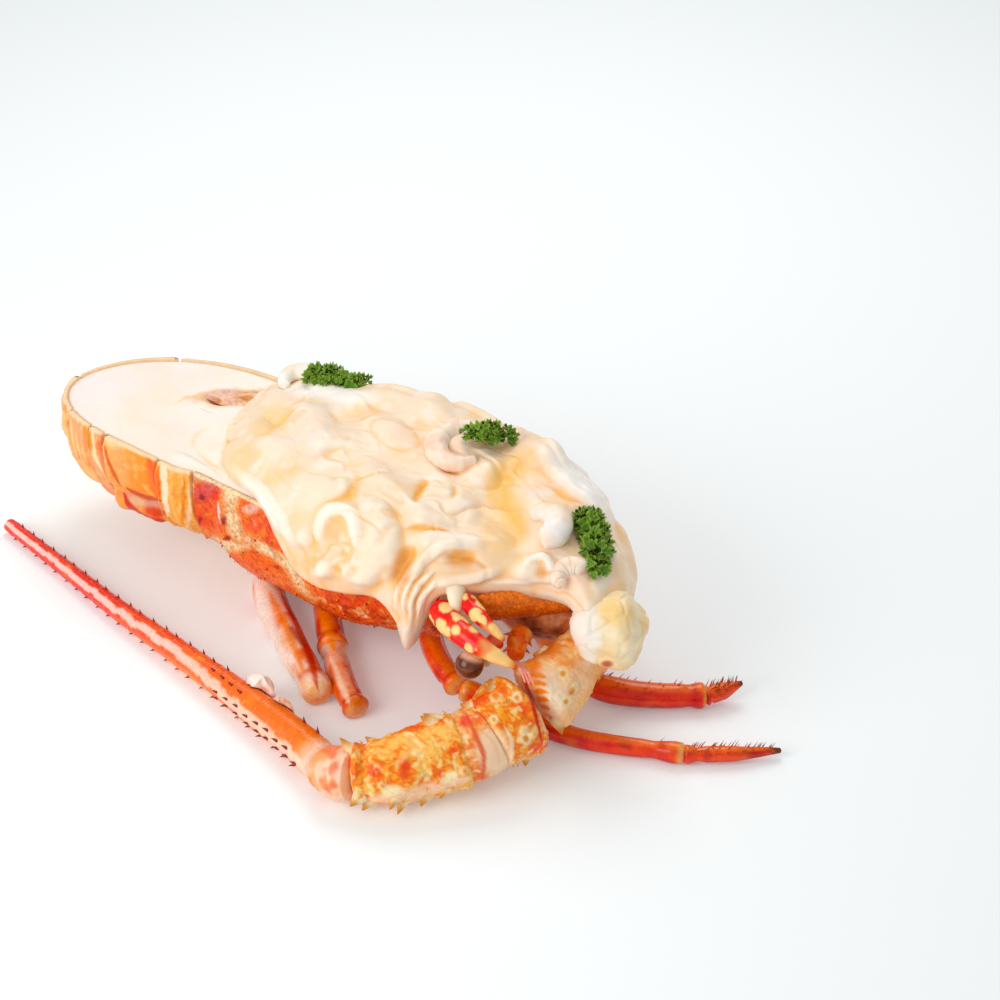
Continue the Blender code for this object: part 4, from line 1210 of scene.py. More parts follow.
@dataclass
class TailShell(Maker):
    """The hoops round the tail, each a curved plate with a rolled rear edge, grooves and a granular face."""

    starts: tuple[float, ...] = (0.742, 0.845, 1.022, 1.066, 1.165, 1.4, 1.7)
    end: float = 2.06
    slot: float = 0.004
    foot: float = 0.93
    looks: tuple[BandLook, ...] = (
        BandLook((244, 180, 96), (247, 168, 74), 0.35, 0.34, 0, has_saddle=True, pinch=0.72),
        BandLook((253, 146, 62), (250, 166, 96), 0, 0.1, 1),
        BandLook((250, 158, 112), (252, 178, 136), 0, 0.05, 0.2),
        BandLook((250, 178, 110), (251, 196, 140), 1, 0.08, 0.2),
        BandLook((250, 190, 130), (252, 214, 172), 0.35, 0.3, 0.3, lumps=1.6),
        BandLook((248, 176, 140), (250, 196, 166), 0.15, 0.08, 0.3, rows=84),
        BandLook((246, 168, 128), (248, 190, 156), 0.1, 0.1, 0.3, rows=84),
    )
    # Streaks, edges and hollows of the hoops.
    marks: tuple[Patch, ...] = (
        streak(((148, 446), (153, 470), (159, 500)), 6, (255, 122, 4), 0.95),
        streak(((149, 458), (153, 475), (157, 492)), 1.6, (232, 84, 0), 0.7, 0.6),
        streak(((118, 441), (116, 455), (119, 468), (127, 482)), 7, (251, 178, 116), 0.6, 0.7),
        blot((113, 441), (9, 7), 20, (251, 214, 160), 0.8),
        streak(((105, 446), (107, 456), (111, 468), (121, 486)), 1.8, (206, 92, 44)),
        streak(((122, 493), (140, 501), (163, 506)), 5, (214, 150, 130), 0.9, 0.4),
        streak(((126, 488), (142, 496), (162, 501)), 2.2, (206, 74, 22), 0.9, 0.4),
        streak(((123, 492), (130, 506), (144, 517), (165, 521)), 3.2, (206, 62, 8), 1, 0.4),
        blot((137, 501), (8, 4), 20, (232, 186, 140), 0.8),
        blot((155, 512), (11, 5), 12, (212, 66, 6), 0.9, 0.4),
        streak(((163, 452), (164, 476), (165, 500), (168, 516)), 3.4, (253, 232, 200), 0.95, 0.4),
        streak(((184, 477), (183, 500), (182, 526)), 1.9, (232, 134, 36), 0.85),
        streak(((190, 480), (190, 504), (187, 530)), 2.4, (252, 216, 176)),
        streak(((92, 424), (92.5, 440), (96, 458), (104, 474)), 1.8, (254, 226, 176)),
        streak(((82, 420), (86, 436), (91, 452)), 1.4, (222, 160, 70), 0.8),
        streak(((87, 423), (89, 434), (92, 448)), 1.2, (236, 150, 40), 0.8),
        streak(((71, 412), (77, 430), (86, 450)), 3, (249, 172, 130), 0.8, 0.6),
        blot((61, 402), (4, 9), 10, (244, 196, 146), 0.8),
        streak(((66, 393), (64, 404), (68, 414)), 1.2, (232, 164, 100), 0.7),
    )

    def build(self) -> None:
        """Makes each hoop."""
        edges = list(self.starts) + [self.end]
        down = self.form.even_down(-100, 0, self.foot, 88)
        for number, (start, end, look) in enumerate(zip(edges[:-1], edges[1:], self.looks), 1):
            share = np.linspace(0, 1, look.rows)[:, None]
            pinch = 1 - look.pinch * smooth(0.52, 1, down)[None, :]
            u = start + self.slot + (end - start - 2 * self.slot) * (0.5 + (share - 0.5) * pinch)
            part = self.band(u, np.broadcast_to(down[None, :], u.shape), share, look, number)
            self.kitchen.piece(f"tail_hoop_{number}", part, COVER.tail, "tail_shell", f"tail_band_{number}")

    def band(self, u: Array, down: Array, share: Array, look: BandLook, number: int) -> Part:
        """One hoop: the wall moved out by the shell's thickness, rounded off at its edges, with a rolled foot.

        Args:
            u: places along the rim.
            down: how far down the wall.
            share: how far across the hoop each line lies.
            look: the hoop's colours.
            number: which hoop it is, from the chest on.

        Returns:
            The hoop.
        """
        form = self.form
        edge = smooth(0, 0.035, share) * smooth(1, 0.965, share)
        edge = edge * smooth(0, 0.03, down + 0.012) * smooth(self.foot, self.foot - 0.04, down)
        base = form.wall(u, down, 0.15)
        below = form.cut_z - base[..., 2]
        lift = 0.9 * share**2 - 0.8 * bump(share, 0.12, 0.07) + 0.7 * bump(share, 0.95, 0.06)
        lift = lift + look.foot * (3.4 * bump(below, 31, 5) - 1.2 * bump(below, 23.5, 2.2)) * smooth(0, 0.2, share)
        if look.has_saddle:
            lift = lift + 0.7 * bump(share, 0.45, 0.2) - 0.6 * bump(share, 0.24, 0.05)
        if look.lumps:
            lift = lift + look.lumps * np.maximum(Noise(34).value(base, 8), 0) * smooth(30, 8, below)
        near, _, _ = Noise(20 + number).cells(base, 1.7)
        pebble = (look.pebbles + 0.1) * smooth(0.62, 0.1, near) + 0.12 * Noise(37).layered(base, 4, 3)
        stripe = look.stripes * np.cos(2 * math.pi * (share * 4 + 0.25 * Noise(30).value(base, 14)))
        wave = 0.25 * Noise(31).value(base, 12)
        out = form.gap + 0.35 + (form.thick - 0.35 + lift + pebble + 0.4 * stripe + wave) * (0.12 + 0.88 * edge)
        outer = form.wall(u, down, out)
        normal = grid_normals(outer, False)
        spots = self.lens.picture(outer) + 1.7 * Noise(35).layered(base, 3.4, 3)[..., None]
        face = smooth(-0.1, 0.3, self.lens.facing(outer, normal)) * (base[..., 1] < 2)
        colour = tint(look.near, look.far, smooth(0.05, 0.95, share + 0.16 * Noise(32).value(base, 9)))
        colour = tint(colour, (255, 224, 180), np.clip(0.45 * stripe, 0, 1))
        colour = tint(colour, (226, 112, 44), np.clip(-0.35 * stripe, 0, 1))
        colour = tint(colour, (254, 190, 120), 0.5 * smooth(0.3, 0.12, near) * (0.3 + look.pebbles * 2))
        colour = tint(colour, (238, 120, 60), 0.6 * smooth(0.15, 0.5, Noise(33).layered(base, 5, 4)))
        colour = tint(colour, (253, 206, 140), 0.5 * smooth(0.1, 0.5, Noise(36).layered(base, 3, 3)))
        colour = self.marked(colour, spots, face)
        dark = look.foot * (1 - face)
        colour = tint(colour, (214, 84, 30), 0.8 * dark * smooth(24, 32, below))
        colour = tint(colour, (254, 226, 190), 0.9 * smooth(1.6, 0.5, below))
        colour = tint(colour, (252, 206, 160), 0.6 * bump(share, 0.98, 0.03))
        return sheet_body(outer, base, colour, (250, 214, 170))


@dataclass
class ChestShell(Maker):
    """The chest shell and, on the far side, the breast plate."""

    back_x: float = -77.4
    front_x: float = 47
    plate_back: float = -66
    plate_front: float = 46
    root_count: int = 5
    first_root: float = -50
    root_step: float = 24
    spines: int = 40
    bristles: int = 60
    # The pale seams that branch over the shell, and its pale upper edge.
    seams: tuple[Stroke, ...] = (
        groove(((222, 484), (228, 492), (232, 510), (236, 527), (246, 541)), 6.5, 0.5),
        groove(((238, 531), (255, 540), (272, 550), (288, 561), (298, 576), (314, 596)), 4.4, 0.6),
        groove(((250, 541), (226, 542), (207, 538), (192, 527)), 5.4, 0.5),
        groove(((196, 479), (218, 484), (240, 493), (266, 511)), 3.2, 0),
        groove(((194, 478), (192, 500), (191, 524)), 2.2, 0),
    )
    # Bosses near the tail.
    bosses: tuple[Mound, ...] = (
        Mound((204, 491), (9, 8), 0, 1.4),
        Mound((215, 494), (5, 4.5), 0, 0.9),
        Mound((221, 510), (3.5, 12), -8, 0.9),
        Mound((204, 533), (5.5, 4.5), 20, 1.6),
        Mound((192, 538), (5.5, 4.5), 20, 1.8),
        Mound((250, 511), (8, 5), 35, 0.6),
    )
    # Blotches, spots, painted highlights and the pinkish lower margin.
    marks: tuple[Patch, ...] = (
        streak(((252, 582), (272, 590), (292, 598), (308, 604)), 6.5, (228, 126, 92), 0.85),
        # A painted white highlight line.
        streak(((219, 500), (221, 509), (222, 520)), 1.2, (255, 222, 212)),
        streak(((222, 481), (236, 488), (250, 497), (264, 508)), 1.5, (190, 84, 20)),
        blot((207, 491), (11, 9), 0, (214, 92, 92), 0.85, 0.45),
        blot((204, 494), (2.4, 3.4), 0, (130, 20, 40), 0.9, 0.45),
        blot((216, 494), (4, 4), 0, (226, 70, 60), 0.8, 0.45),
        blot((201, 516), (2.4, 3), 0, (166, 30, 34), 0.9, 0.45),
        blot((225, 518), (2.6, 4), 0, (140, 30, 34), 0.9, 0.45),
        blot((228, 535), (4, 2.4), 0, (150, 26, 16), 0.9, 0.45),
        blot((203, 533), (5, 4), 0, (190, 34, 10), 0.9, 0.45),
        blot((192, 539), (5.5, 3.6), 0, (196, 36, 8), 0.95, 0.45),
        # Painted pink-white highlights.
        blot((250, 508), (7, 3), 0, (252, 196, 180), 0.8, 0.45),
        blot((255, 519), (3, 5), 0, (244, 140, 120), 0.7, 0.45),
        blot((298, 557), (3.6, 2.2), 0, (130, 30, 16), 0.9, 0.45),
        blot((278, 563), (2.6, 2), 0, (150, 40, 20), 0.7, 0.45),
    )

    def build(self) -> None:
        """Makes the chest shell and the breast plate."""
        form = self.form
        near = form.even_down(-20, 0, 0.99, 150)
        far = form.even_down(-20, 0.42, 0.985, 44)[::-1]
        across = np.concatenate([near, far])
        on_back = (np.arange(len(across)) < len(near))[None, :]
        share = np.linspace(0, 1, 200)[:, None]
        ragged = np.where(on_back, 13 * smooth(0.45, 0.9, across), 13 - 3 * smooth(1, 0.42, across))
        x = self.back_x + (self.front_x - ragged - self.back_x) * share
        u = np.where(on_back, form.front_u(x), form.belly_u(x))
        down = np.broadcast_to(across[None, :], x.shape)
        inner = form.wall(u, down, 0.15)
        thick, colour = self.dress(inner, down, share, on_back)
        outer = form.wall(u, down, form.gap + thick)
        part = sheet_body(outer, inner, colour, (246, 190, 140))
        thorns = self.thorns(outer, on_back)
        self.kitchen.piece("chest_armour", Part.joined([part, thorns]), COVER.chest, "chest_shell", "chest_shell")
        self.build_plate()

    def dress(self, base: Array, down: Array, share: Array, on_back: Array) -> tuple[Array, Array]:
        """Thickness and colour: pebbles, pale seams in grooves, dark bosses, and a worn lower edge.

        Args:
            base: the points inside the shell.
            down: how far down the wall they are.
            share: how far towards the head.
            on_back: which columns lie on the back of the animal.

        Returns:
            The thickness and the colour of each point.
        """
        normal = grid_normals(base, False)
        plain = self.lens.picture(base + 2.5 * normal * on_back[..., None])
        face = np.where(on_back, smooth(-0.1, 0.3, self.lens.facing(base, normal)), 0)
        spots = plain + 1.8 * np.stack([Noise(40 + i).layered(base, 4, 3) for i in (0, 7)], axis=-1)
        fine, _, _ = Noise(41).cells(base, 1.25)
        large, _, pick = Noise(42).cells(base, 4.2)
        pebble = 0.18 * smooth(0.65, 0.1, fine) + 0.3 * smooth(0.34, 0.05, large) * (pick > 0.45)
        wide = Noise(43).layered(base, 16, 4)
        rough = Noise(44).layered(base, 2.6, 3, 0.7)
        colour = tint((240, 110, 42), (228, 84, 24), smooth(-0.35, 0.45, wide))
        flank = smooth(18, 26, self.form.cut_z - base[..., 2]) * smooth(0.8, 0.4, share)
        colour = tint(colour, (246, 124, 30), 0.8 * flank)
        colour = tint(colour, (250, 158, 96), 0.6 * smooth(0, 0.5, rough))
        colour = tint(colour, (196, 50, 16), 0.55 * smooth(0.1, 0.6, -rough))
        seam = np.zeros_like(fine)
        hollow = np.zeros_like(fine)
        for stroke in self.seams:
            seam = np.maximum(seam, stroke.mask(spots))
            hollow = stroke.lay(spots, hollow)[0]
        own = smooth(0.62, 0.95, 1 - np.abs(Noise(45).layered(base, 30, 3)) * 3) * (1 - face)
        seam = np.clip(1.25 * seam * face + 0.7 * own, 0, 1)
        grit = smooth(-0.05, 0.35, Noise(48).layered(base, 1.8, 2))
        colour = tint(colour, tint((250, 226, 186), (222, 160, 108), 0.75 * grit), 0.95 * seam)
        raised = np.zeros_like(fine)
        for mound in self.bosses:
            raised = np.maximum(raised, mound.lay(spots, raised)[0])
        colour = self.marked(colour, spots, face)
        speck = smooth(0.26, 0.1, large) * (pick > 0.72)
        colour = tint(colour, (150, 34, 26), 0.55 * speck * (1 - seam))
        crumbs = smooth(298, 322, plain[..., 0]) * smooth(0.16, 0.34, down) * face
        crumbs = np.maximum(crumbs, smooth(0.45, 0.75, share) * smooth(0.62, 0.74, down) * (1 - face))
        crumb = Noise(46).layered(base, 3.2, 4, 0.7)
        colour = tint(colour, (222, 104, 34), 0.6 * crumbs * smooth(-0.2, 0.2, crumb))
        colour = tint(colour, (150, 44, 12), 0.8 * crumbs * smooth(0.08, 0.4, crumb))
        colour = tint(colour, (250, 214, 170), 0.85 * crumbs * smooth(0.08, 0.4, -crumb))
        colour = tint(colour, (252, 230, 196), 0.95 * smooth(1.3, 0.5, self.form.cut_z - base[..., 2]))
        edge = smooth(0, 0.012, share) * smooth(1, 0.985, share) * smooth(0, 0.02, down + 0.006)
        edge = edge * np.where(on_back, 1, smooth(0.42, 0.45, down))
        thick = self.form.thick + 1.1 * bump(share, 0, 0.035) - 0.7 * bump(share, 0.09, 0.03)
        thick = thick + pebble * (1 - 0.5 * seam) + 0.3 * wide + 0.08 * rough + 1.5 * crumbs * crumb
        thick = thick + (hollow + raised) * face
        return 0.25 + np.maximum(thick, 0.7) * (0.15 + 0.85 * edge), colour

    def thorns(self, outer: Array, on_back: Array) -> Part:
        """Short spines that lean to the head on the side that faces the viewer, and bristles on its lower rear edge.

        Args:
            outer: the shell's outer points.
            on_back: which columns lie on the back of the animal.

        Returns:
            All the spines and bristles.
        """
        rng = np.random.default_rng(7)
        last = int(on_back.sum())
        count = self.spines + self.bristles
        is_spine = np.arange(count) < self.spines
        i = np.concatenate([rng.integers(8, outer.shape[0] - 20, self.spines), rng.integers(10, 46, self.bristles)])
        low, high = int(0.56 * last), int(0.72 * last)
        j = np.concatenate([rng.integers(10, last - 36, self.spines), rng.integers(low, high, self.bristles)])
        normal = grid_normals(outer, False)[i, j]
        way = normal * 0.8 + np.where(is_spine, 1, 0.2)[:, None] * np.array((0.75, 0, 0.15))
        length = np.where(is_spine, rng.uniform(1, 2.2, count), rng.uniform(1.2, 2, count))
        radius = length * np.where(is_spine, 0.34, 0.14)
        return spikes(outer[i, j] - normal * 0.2, way, length, radius, (236, 130, 70), (130, 30, 20))

    def build_plate(self) -> None:
        """The breast plate: a thick strip with a boss for each leg, five in all."""
        form = self.form
        x = np.linspace(self.plate_back, self.plate_front, 150)[:, None]
        down = np.linspace(0.02, 0.34, 44)[None, :]
        u = form.belly_u(x)
        base = form.wall(u, down, form.gap)
        ribs = np.cos(2 * math.pi * (x - self.first_root) / self.root_step)
        edge = smooth(0.02, 0.04, down) * smooth(0.34, 0.31, down)
        edge = edge * smooth(self.plate_back, self.plate_back + 3, x)
        edge = edge * smooth(self.plate_front, self.plate_front - 3, x)
        rough = 0.35 * Noise(50).layered(base, 5, 4)
        outer = form.wall(u, down, form.gap + 0.4 + (3.4 + 0.9 * ribs + rough) * (0.1 + 0.9 * edge))
        colour = tint((248, 196, 148), (226, 112, 52), smooth(-0.3, 0.5, Noise(51).layered(base, 9, 4)))
        parts = [sheet_body(outer, base, colour, (248, 206, 160))]
        for i in range(self.root_count):
            knob_x = self.first_root + self.root_step * i
            centre = (knob_x, float(form.belly_rim(np.array(knob_x))) + 4.5, 45)
            grid = ball_grid(centre, (8, 5.5, 8), 26, 40)
            rough = Noise(52 + i).layered(grid, 4, 3)
            grid = grid + grid_normals(grid, True) * (0.5 * rough)[..., None]
            tints = tint((240, 150, 90), (216, 84, 30), smooth(-0.3, 0.4, rough))
            parts.append(ring_body(grid, tint(tints, (250, 210, 170), smooth(0.2, 0.6, -rough))))
        self.kitchen.piece("breast_strip", Part.joined(parts), COVER.chest, "breast_shell", "breast_plate")


# The head


@dataclass
class Face(Maker):
    """What shows at the head: dark flesh, the horns, the brow, the eye and the small feelers."""

    flesh_middle: Point = (72, 9, 42.5)
    flesh_radii: Point = (24, 25, 17)
    eye_middle: Point = (74.2, -46, 40.2)
    eye_radii: Point = (5.5, 5.5, 5.5)

    def build(self) -> None:
        """Makes each piece of the face."""
        self.build_flesh()
        self.build_horns()
        self.build_brow()
        self.build_eye()
        self.build_feelers()

    def build_flesh(self) -> None:
        """The head's flesh: an egg shape with coarse lumps and fine strings, lighter on the lumps and with painted dark
        brown shade between them.
        """
        grid = ball_grid(self.flesh_middle, self.flesh_radii, 80, 130)
        grid = turned(grid, self.flesh_middle, -22)
        lumps = Noise(60).layered(grid, 8, 4, 0.6)
        strings = Noise(61).value(grid, (7, 1.4, 2))
        grid = grid + grid_normals(grid, True) * (1.6 * lumps + 0.45 * strings)[..., None]
        # Lighter on the lumps and dark brown in the hollows between them: painted shade.
        colour = tint((196, 112, 60), (240, 190, 150), smooth(-0.1, 0.45, lumps))
        colour = tint(colour, (120, 46, 16), smooth(0.05, 0.5, -lumps))
        colour = tint(colour, (222, 100, 40), 0.6 * smooth(0.2, 0.7, strings))
        self.kitchen.piece("head_meat", ring_body(grid, colour), COVER.tissue, "head_flesh", "head_flesh")

    def build_horns(self) -> None:
        """Two curved horns: red with cream spots and an orange-cream point."""
        horns = {
            "long": Rod(
                ((51.5, -36.5, 51), (64, -42.5, 51.5), (78, -44, 49.5), (92.5, -40.5, 44.5)),
                (5, 5.2, 3.9, 1), 100, 60, ends=(0.5, 0.9),
            ),
            "short": Rod(((60, -31.5, 57), (71, -36, 56), (84, -37, 51)), (3.4, 3.2, 0.9), 80, 48, ends=(0.5, 0.9)),
        }
        for name, rod in horns.items():
            grid = rod.grid()
            warp = grid + 0.9 * Noise(64).value(grid, 4)[..., None]
            near, _, pick = Noise(65).cells(warp, 5.2)
            spot = smooth(0.62, 0.46, near + 0.5 * (0.7 - pick)) * (pick > 0.3)
            swell = 0.25 * spot + 0.12 * Noise(66).layered(grid, 4, 3)
            grid = rod.grid(swell * smooth(1, 0.8, rod.share)[:, None])
            round_way = np.sin(rod.angle)[None, :]
            colour = tint((232, 44, 8), (214, 18, 22), smooth(0.1, -0.7, round_way))
            colour = tint(colour, (244, 92, 40), 0.5 * smooth(0.1, 0.5, Noise(67).layered(grid, 6, 3)))
            colour = tint(colour, (253, 216, 150), spot)
            tip = smooth(0.62, 0.8, rod.share[:, None] + 0.08 * Noise(68).value(grid, 5))
            colour = tint(colour, (250, 206, 140), tip)
            colour = tint(colour, (222, 110, 20), smooth(0.9, 1, rod.share)[:, None])
            self.kitchen.piece(
                f"horn_{name}_spotted", ring_body(grid, colour), COVER.horn, "horn_shell", f"horn_{name}"
            )

    def build_brow(self) -> None:
        """The granular shell edge over the face, with painted shade on its underside."""
        keys = ((62, -29.5, 51), (70, -22.5, 52.2), (78, -14.5, 52.5), (90, -3, 52))
        rod = Rod(keys, (2.4, 2.8, 2.8, 2.4), 90, 52, 2.3)
        grid = rod.grid()
        near, _, _ = Noise(70).cells(grid, 1.3)
        rough = Noise(71).layered(grid, 6, 3)
        grid = rod.grid(0.28 * smooth(0.6, 0.1, near) + 0.35 * rough)
        height = np.sin(rod.angle)[None, :]
        colour = tint((212, 110, 44), (240, 140, 52), smooth(-0.4, 0.5, rough))
        # Painted shade: darker brown on the underside.
        colour = tint(colour, (176, 74, 16), smooth(0.2, -0.8, height) * 0.7)
        colour = tint(colour, (250, 190, 120), 0.6 * smooth(0.3, 0.1, near))
        self.kitchen.piece("brow_edge", ring_body(grid, colour), COVER.chest, "brow_shell", "brow_shell")

    def build_eye(self) -> None:
        """A dark eyeball and its pale stalk with a collar."""
        stalk = Rod(((74.5, -29, 42), (74.5, -35, 41.5), (74.3, -40.8, 41)), (3.6, 3.2, 5.2), 56, 44, ends=(0.3, 0.25))
        collar = 0.8 * bump(stalk.share, 0.93, 0.05)[:, None]
        grid = stalk.grid(collar)
        colour = tint((236, 120, 90), (248, 214, 170), smooth(0.55, 0.8, stalk.share)[:, None])
        colour = tint(colour, (214, 50, 30), 0.7 * smooth(0.1, 0.5, Noise(75).layered(grid, 3, 3)))
        self.kitchen.piece("eye_stem", ring_body(grid, colour), COVER.knob, "eye_stalk", "eye_stalk")
        ball = ball_grid(self.eye_middle, self.eye_radii, 44, 64)
        height = ball[..., 2] - self.eye_middle[2]
        upper = smooth(2.2, 4.6, height + 0.5 * (ball[..., 1] - self.eye_middle[1]))
        colour = tint((120, 54, 16), (84, 28, 6), smooth(-0.3, 0.4, Noise(76).layered(ball, 4, 3)))
        colour = tint(colour, (176, 116, 52), 0.7 * smooth(-2, -4.6, height))
        colour = tint(colour, (250, 206, 170), 0.9 * upper)
        self.kitchen.piece("eye_bead", ring_body(ball, colour), COVER.eye, "eye_ball", "eye")

    def build_feelers(self) -> None:
        """The stub of the small feelers with its little spines, and the pink threads under it."""
        base = Rod(((78, -17, 41), (80, -24, 40), (84, -30, 38)), (4.4, 4, 3.2), 56, 40)
        grid = base.grid(0.5 * Noise(80).layered(base.grid(), 3, 3))
        colour = tint((232, 108, 36), (250, 176, 110), smooth(-0.1, 0.5, Noise(81).layered(grid, 4, 3)))
        places = [(0.3 + 0.12 * i, 200 + 47 * i) for i in range(6)]
        places += [(0.35 + 0.1 * i, 20 + 60 * i) for i in range(6)]
        spot, out, ahead = base.spots(np.array(places))
        thorns = spikes(spot, out + 0.7 * ahead, np.full(12, 2.4), np.full(12, 0.8), (240, 130, 50), (200, 70, 20))
        part = Part.joined([ring_body(grid, colour), thorns])
        self.kitchen.piece("feeler_stub", part, COVER.knob, "feeler_shell", "feeler_base")
        strands = []
        for i, side in enumerate((-1.3, -0.3, 0.9)):
            keys = np.array(((86.2, -32.4, 38.8), (91.5, -37, 42.2), (97, -41, 44.6), (101.8, -44, 43.6)))
            keys = keys + np.array((side, 0.4 * side, -0.2 * i)) * np.array((0.6, 0.9, 1.1, 1.5))[:, None]
            rod = Rod(tuple(map(tuple, keys)), (0.85, 0.8, 0.65, 0.3), 44, 12)
            ring = 0.07 * np.cos(rod.share * rod.length * 2 * math.pi / 0.9)[:, None]
            colour = tint((244, 176, 160), (236, 120, 96), smooth(-0.03, 0.05, ring))
            strands.append(ring_body(rod.grid(ring), colour))
        self.kitchen.piece("feeler_strands", Part.joined(strands), COVER.skin, "feeler_thread", "feeler_threads")


# The large antenna


@dataclass(frozen=True)
class Joint:
    """One thick joint of the antenna: its line, radii and spines, how drawn in it is at one place, and how creamy."""

    name: str
    node: str
    keys: tuple[Point, ...]
    radii: tuple[float, ...]
    spines: tuple[Spot, ...]
    spine_length: float
    seed: int
    waist: float = 0
    cream: float = 0


@dataclass
class Antenna(Maker):
    """Three knobbly joints, the smooth skin between them, the ringed whip with its spines, and scraps of skin."""

    joints: tuple[Joint, ...] = (
        Joint(
            "antenna_first_joint",
            "antenna_root",
            ((101, 2, 36), (99.5, -12, 33), (98.5, -25, 29), (96.4, -34.6, 25.4)),
            (9.5, 10.8, 13.2, 16.6),
            ((0.55, 35), (0.7, 150), (0.94, 212), (0.9, 60)),
            6,
            90,
            cream=0.45,
        ),
        Joint(
            "antenna_second_joint",
            "antenna_middle",
            ((95.4, -37, 24.6), (92.5, -49, 22), (89.6, -59, 19.5)),
            (17, 15.8, 14),
            ((0.3, 64), (0.42, 72), (0.45, 230), (0.08, 222), (0.85, 60)),
            6.5,
            94,
        ),
        Joint(
            "antenna_third_joint",
            "antenna_end",
            ((87.4, -62.6, 18), (79, -73.5, 15.4), (70, -86.5, 13.6), (57.5, -97.6, 12.2)),
            (15, 14.2, 12.8, 10.8),
            (
                (0.18, 62), (0.24, 72), (0.28, 203), (0.45, 222), (0.66, 199),
                (0.84, 226), (0.92, 202), (0.95, 70), (0.6, 221), (0.75, 20),
            ),
            7.5,
            98,
            waist=1.3,
        ),
    )
    # Stripes, red borders, bare skin and ringed warts of the joints.
    marks: tuple[Patch, ...] = (
        blot((556, 706), (15, 38), -12, (253, 232, 206), 0.85, 0.6),
        blot((580, 674), (12, 20), 20, (252, 218, 186), 0.7, 0.6),
        blot((546, 646), (15, 13), 20, (226, 112, 40), 0.8, 0.7),
        blot((533, 664), (7, 9), -20, (238, 128, 50), 0.8, 0.6),
        blot((566, 664), (8, 6), 30, (240, 150, 84), 0.7, 0.7),
        blot((574, 640), (7, 6), 0, (240, 140, 66), 0.7, 0.7),
        blot((590, 658), (5, 9), 20, (254, 238, 222), 0.8, 0.6),
        blot((566, 718), (7, 12), 20, (246, 176, 110), 0.6, 0.7),
        *(
            streak(
                ((528 + 1.6 * i, 676 + 8 * i), (537 + 1.2 * i, 675 + 8 * i), (546 + i, 677 + 8 * i)),
                2.7,
                (240, 134, 30),
            )
            for i in range(6)
        ),
        streak(((514, 660), (524, 680), (533, 705), (542, 742)), 2, (206, 48, 12), 0.95),
        streak(((526, 678), (536, 700), (546, 735)), 1.3, (252, 220, 176), 0.7),
        blot((494, 752), (17, 24), -14, (251, 213, 174), 0.97, 0.3),
        streak(((484, 732), (494, 744), (500, 766)), 1.6, (246, 192, 146), 0.7, 0.7),
        streak(((504, 726), (512, 742), (510, 764)), 2, (255, 236, 210), 0.7, 0.7),
        streak(((465, 712), (476, 736), (484, 758), (482, 782)), 2.6, (226, 84, 26)),
        blot((465, 721), (6, 7), 0, (238, 52, 20)),
        blot((406, 769), (6, 12), 0, (236, 92, 30), 0.7, 0.6),
        blot((346, 764), (5, 5), 0, (238, 84, 44), 0.8),
        blot((332, 770), (14, 22), 0, (252, 214, 190), 0.7),
        streak(((366, 800), (400, 797), (440, 786), (470, 778)), 6, (252, 214, 184), 0.8, 0.6),
        blot((392, 791), (10, 5.5), -12, (255, 234, 190)),
        blot((450, 777), (9, 5), -22, (255, 234, 190)),
        blot((352, 796), (10, 5), -20, (254, 226, 180), 0.8),
        blot((404, 766), (5, 6), 0, (226, 70, 14), 0.7, 0.6),
        *(
            blot((x, y + drop), (wide * size, high * size), 0, shade, 0.9, edge)
            for x, y, size in ((563, 673, 5.5), (566, 701, 5), (517, 697, 5), (494, 719, 4), (526, 738, 6))
            for drop, wide, high, shade, edge in (
                (0, 1, 1.15, (254, 228, 186), 0.3),
                (0.8, 0.5, 0.55, (226, 142, 34), 0.4),
            )
        ),
    )
    whip_keys: tuple[Point, ...] = (
        (45.6, -97.8, 9.6), (28, -92.6, 8.2), (-11.5, -85, 6.5), (-50, -79, 5.5),
        (-89, -73.5, 4.6), (-131, -66, 3.9), (-174, -58.5, 3.4),
    )
    whip_radii: tuple[float, ...] = (7.8, 7.2, 5.8, 4.8, 4, 3.4, 2.9)
    small_spines: int = 18
    # Each scrap's middle, radii and turn.
    scraps: tuple[tuple[Point, Point, float], ...] = (
        ((-5.6, -79.2, 10), (7.6, 4.6, 5.6), -8),
        ((10.4, -83, 11.2), (6, 3.8, 4.2), -14),
    )

    def __post_init__(self) -> None:
        """Lays the whip's rod, which the scraps of skin keep clear of."""
        self.whip = Rod(self.whip_keys, self.whip_radii, 820, 36, ends=(0.4, 0.2))

    def build(self) -> None:
        """Makes the joints, the skin, the whip and the scraps."""
        for joint in self.joints:
            self.build_joint(joint)
        self.build_skin()
        self.build_whip()
        self.build_scraps()

    @staticmethod
    def worms(grid: Array, warp: Array, seed: int) -> Array:
        """Orange worms on yellow and cream: a line where warped noise is near nought, and blots of red-orange.

        Args:
            grid: the points.
            warp: the same, moved about by noise.
            seed: the first of the noises.

        Returns:
            The colours.
        """
        worm = Noise(seed + 6).layered(warp, 2.1, 2)
        zone = Noise(seed + 4).layered(grid, 7, 3)
        colour = tint((252, 195, 120), (247, 156, 70), smooth(-0.3, 0.3, zone))
        colour = tint(colour, (238, 112, 16), 0.9 * smooth(0.24, 0.05, np.abs(worm + 0.05)) * smooth(-0.6, 0, zone))
        colour = tint(colour, (236, 92, 22), 0.85 * smooth(0.1, 0.42, zone + 0.3 * worm))
        return tint(colour, (254, 222, 166), 0.8 * smooth(0.26, 0.5, worm))

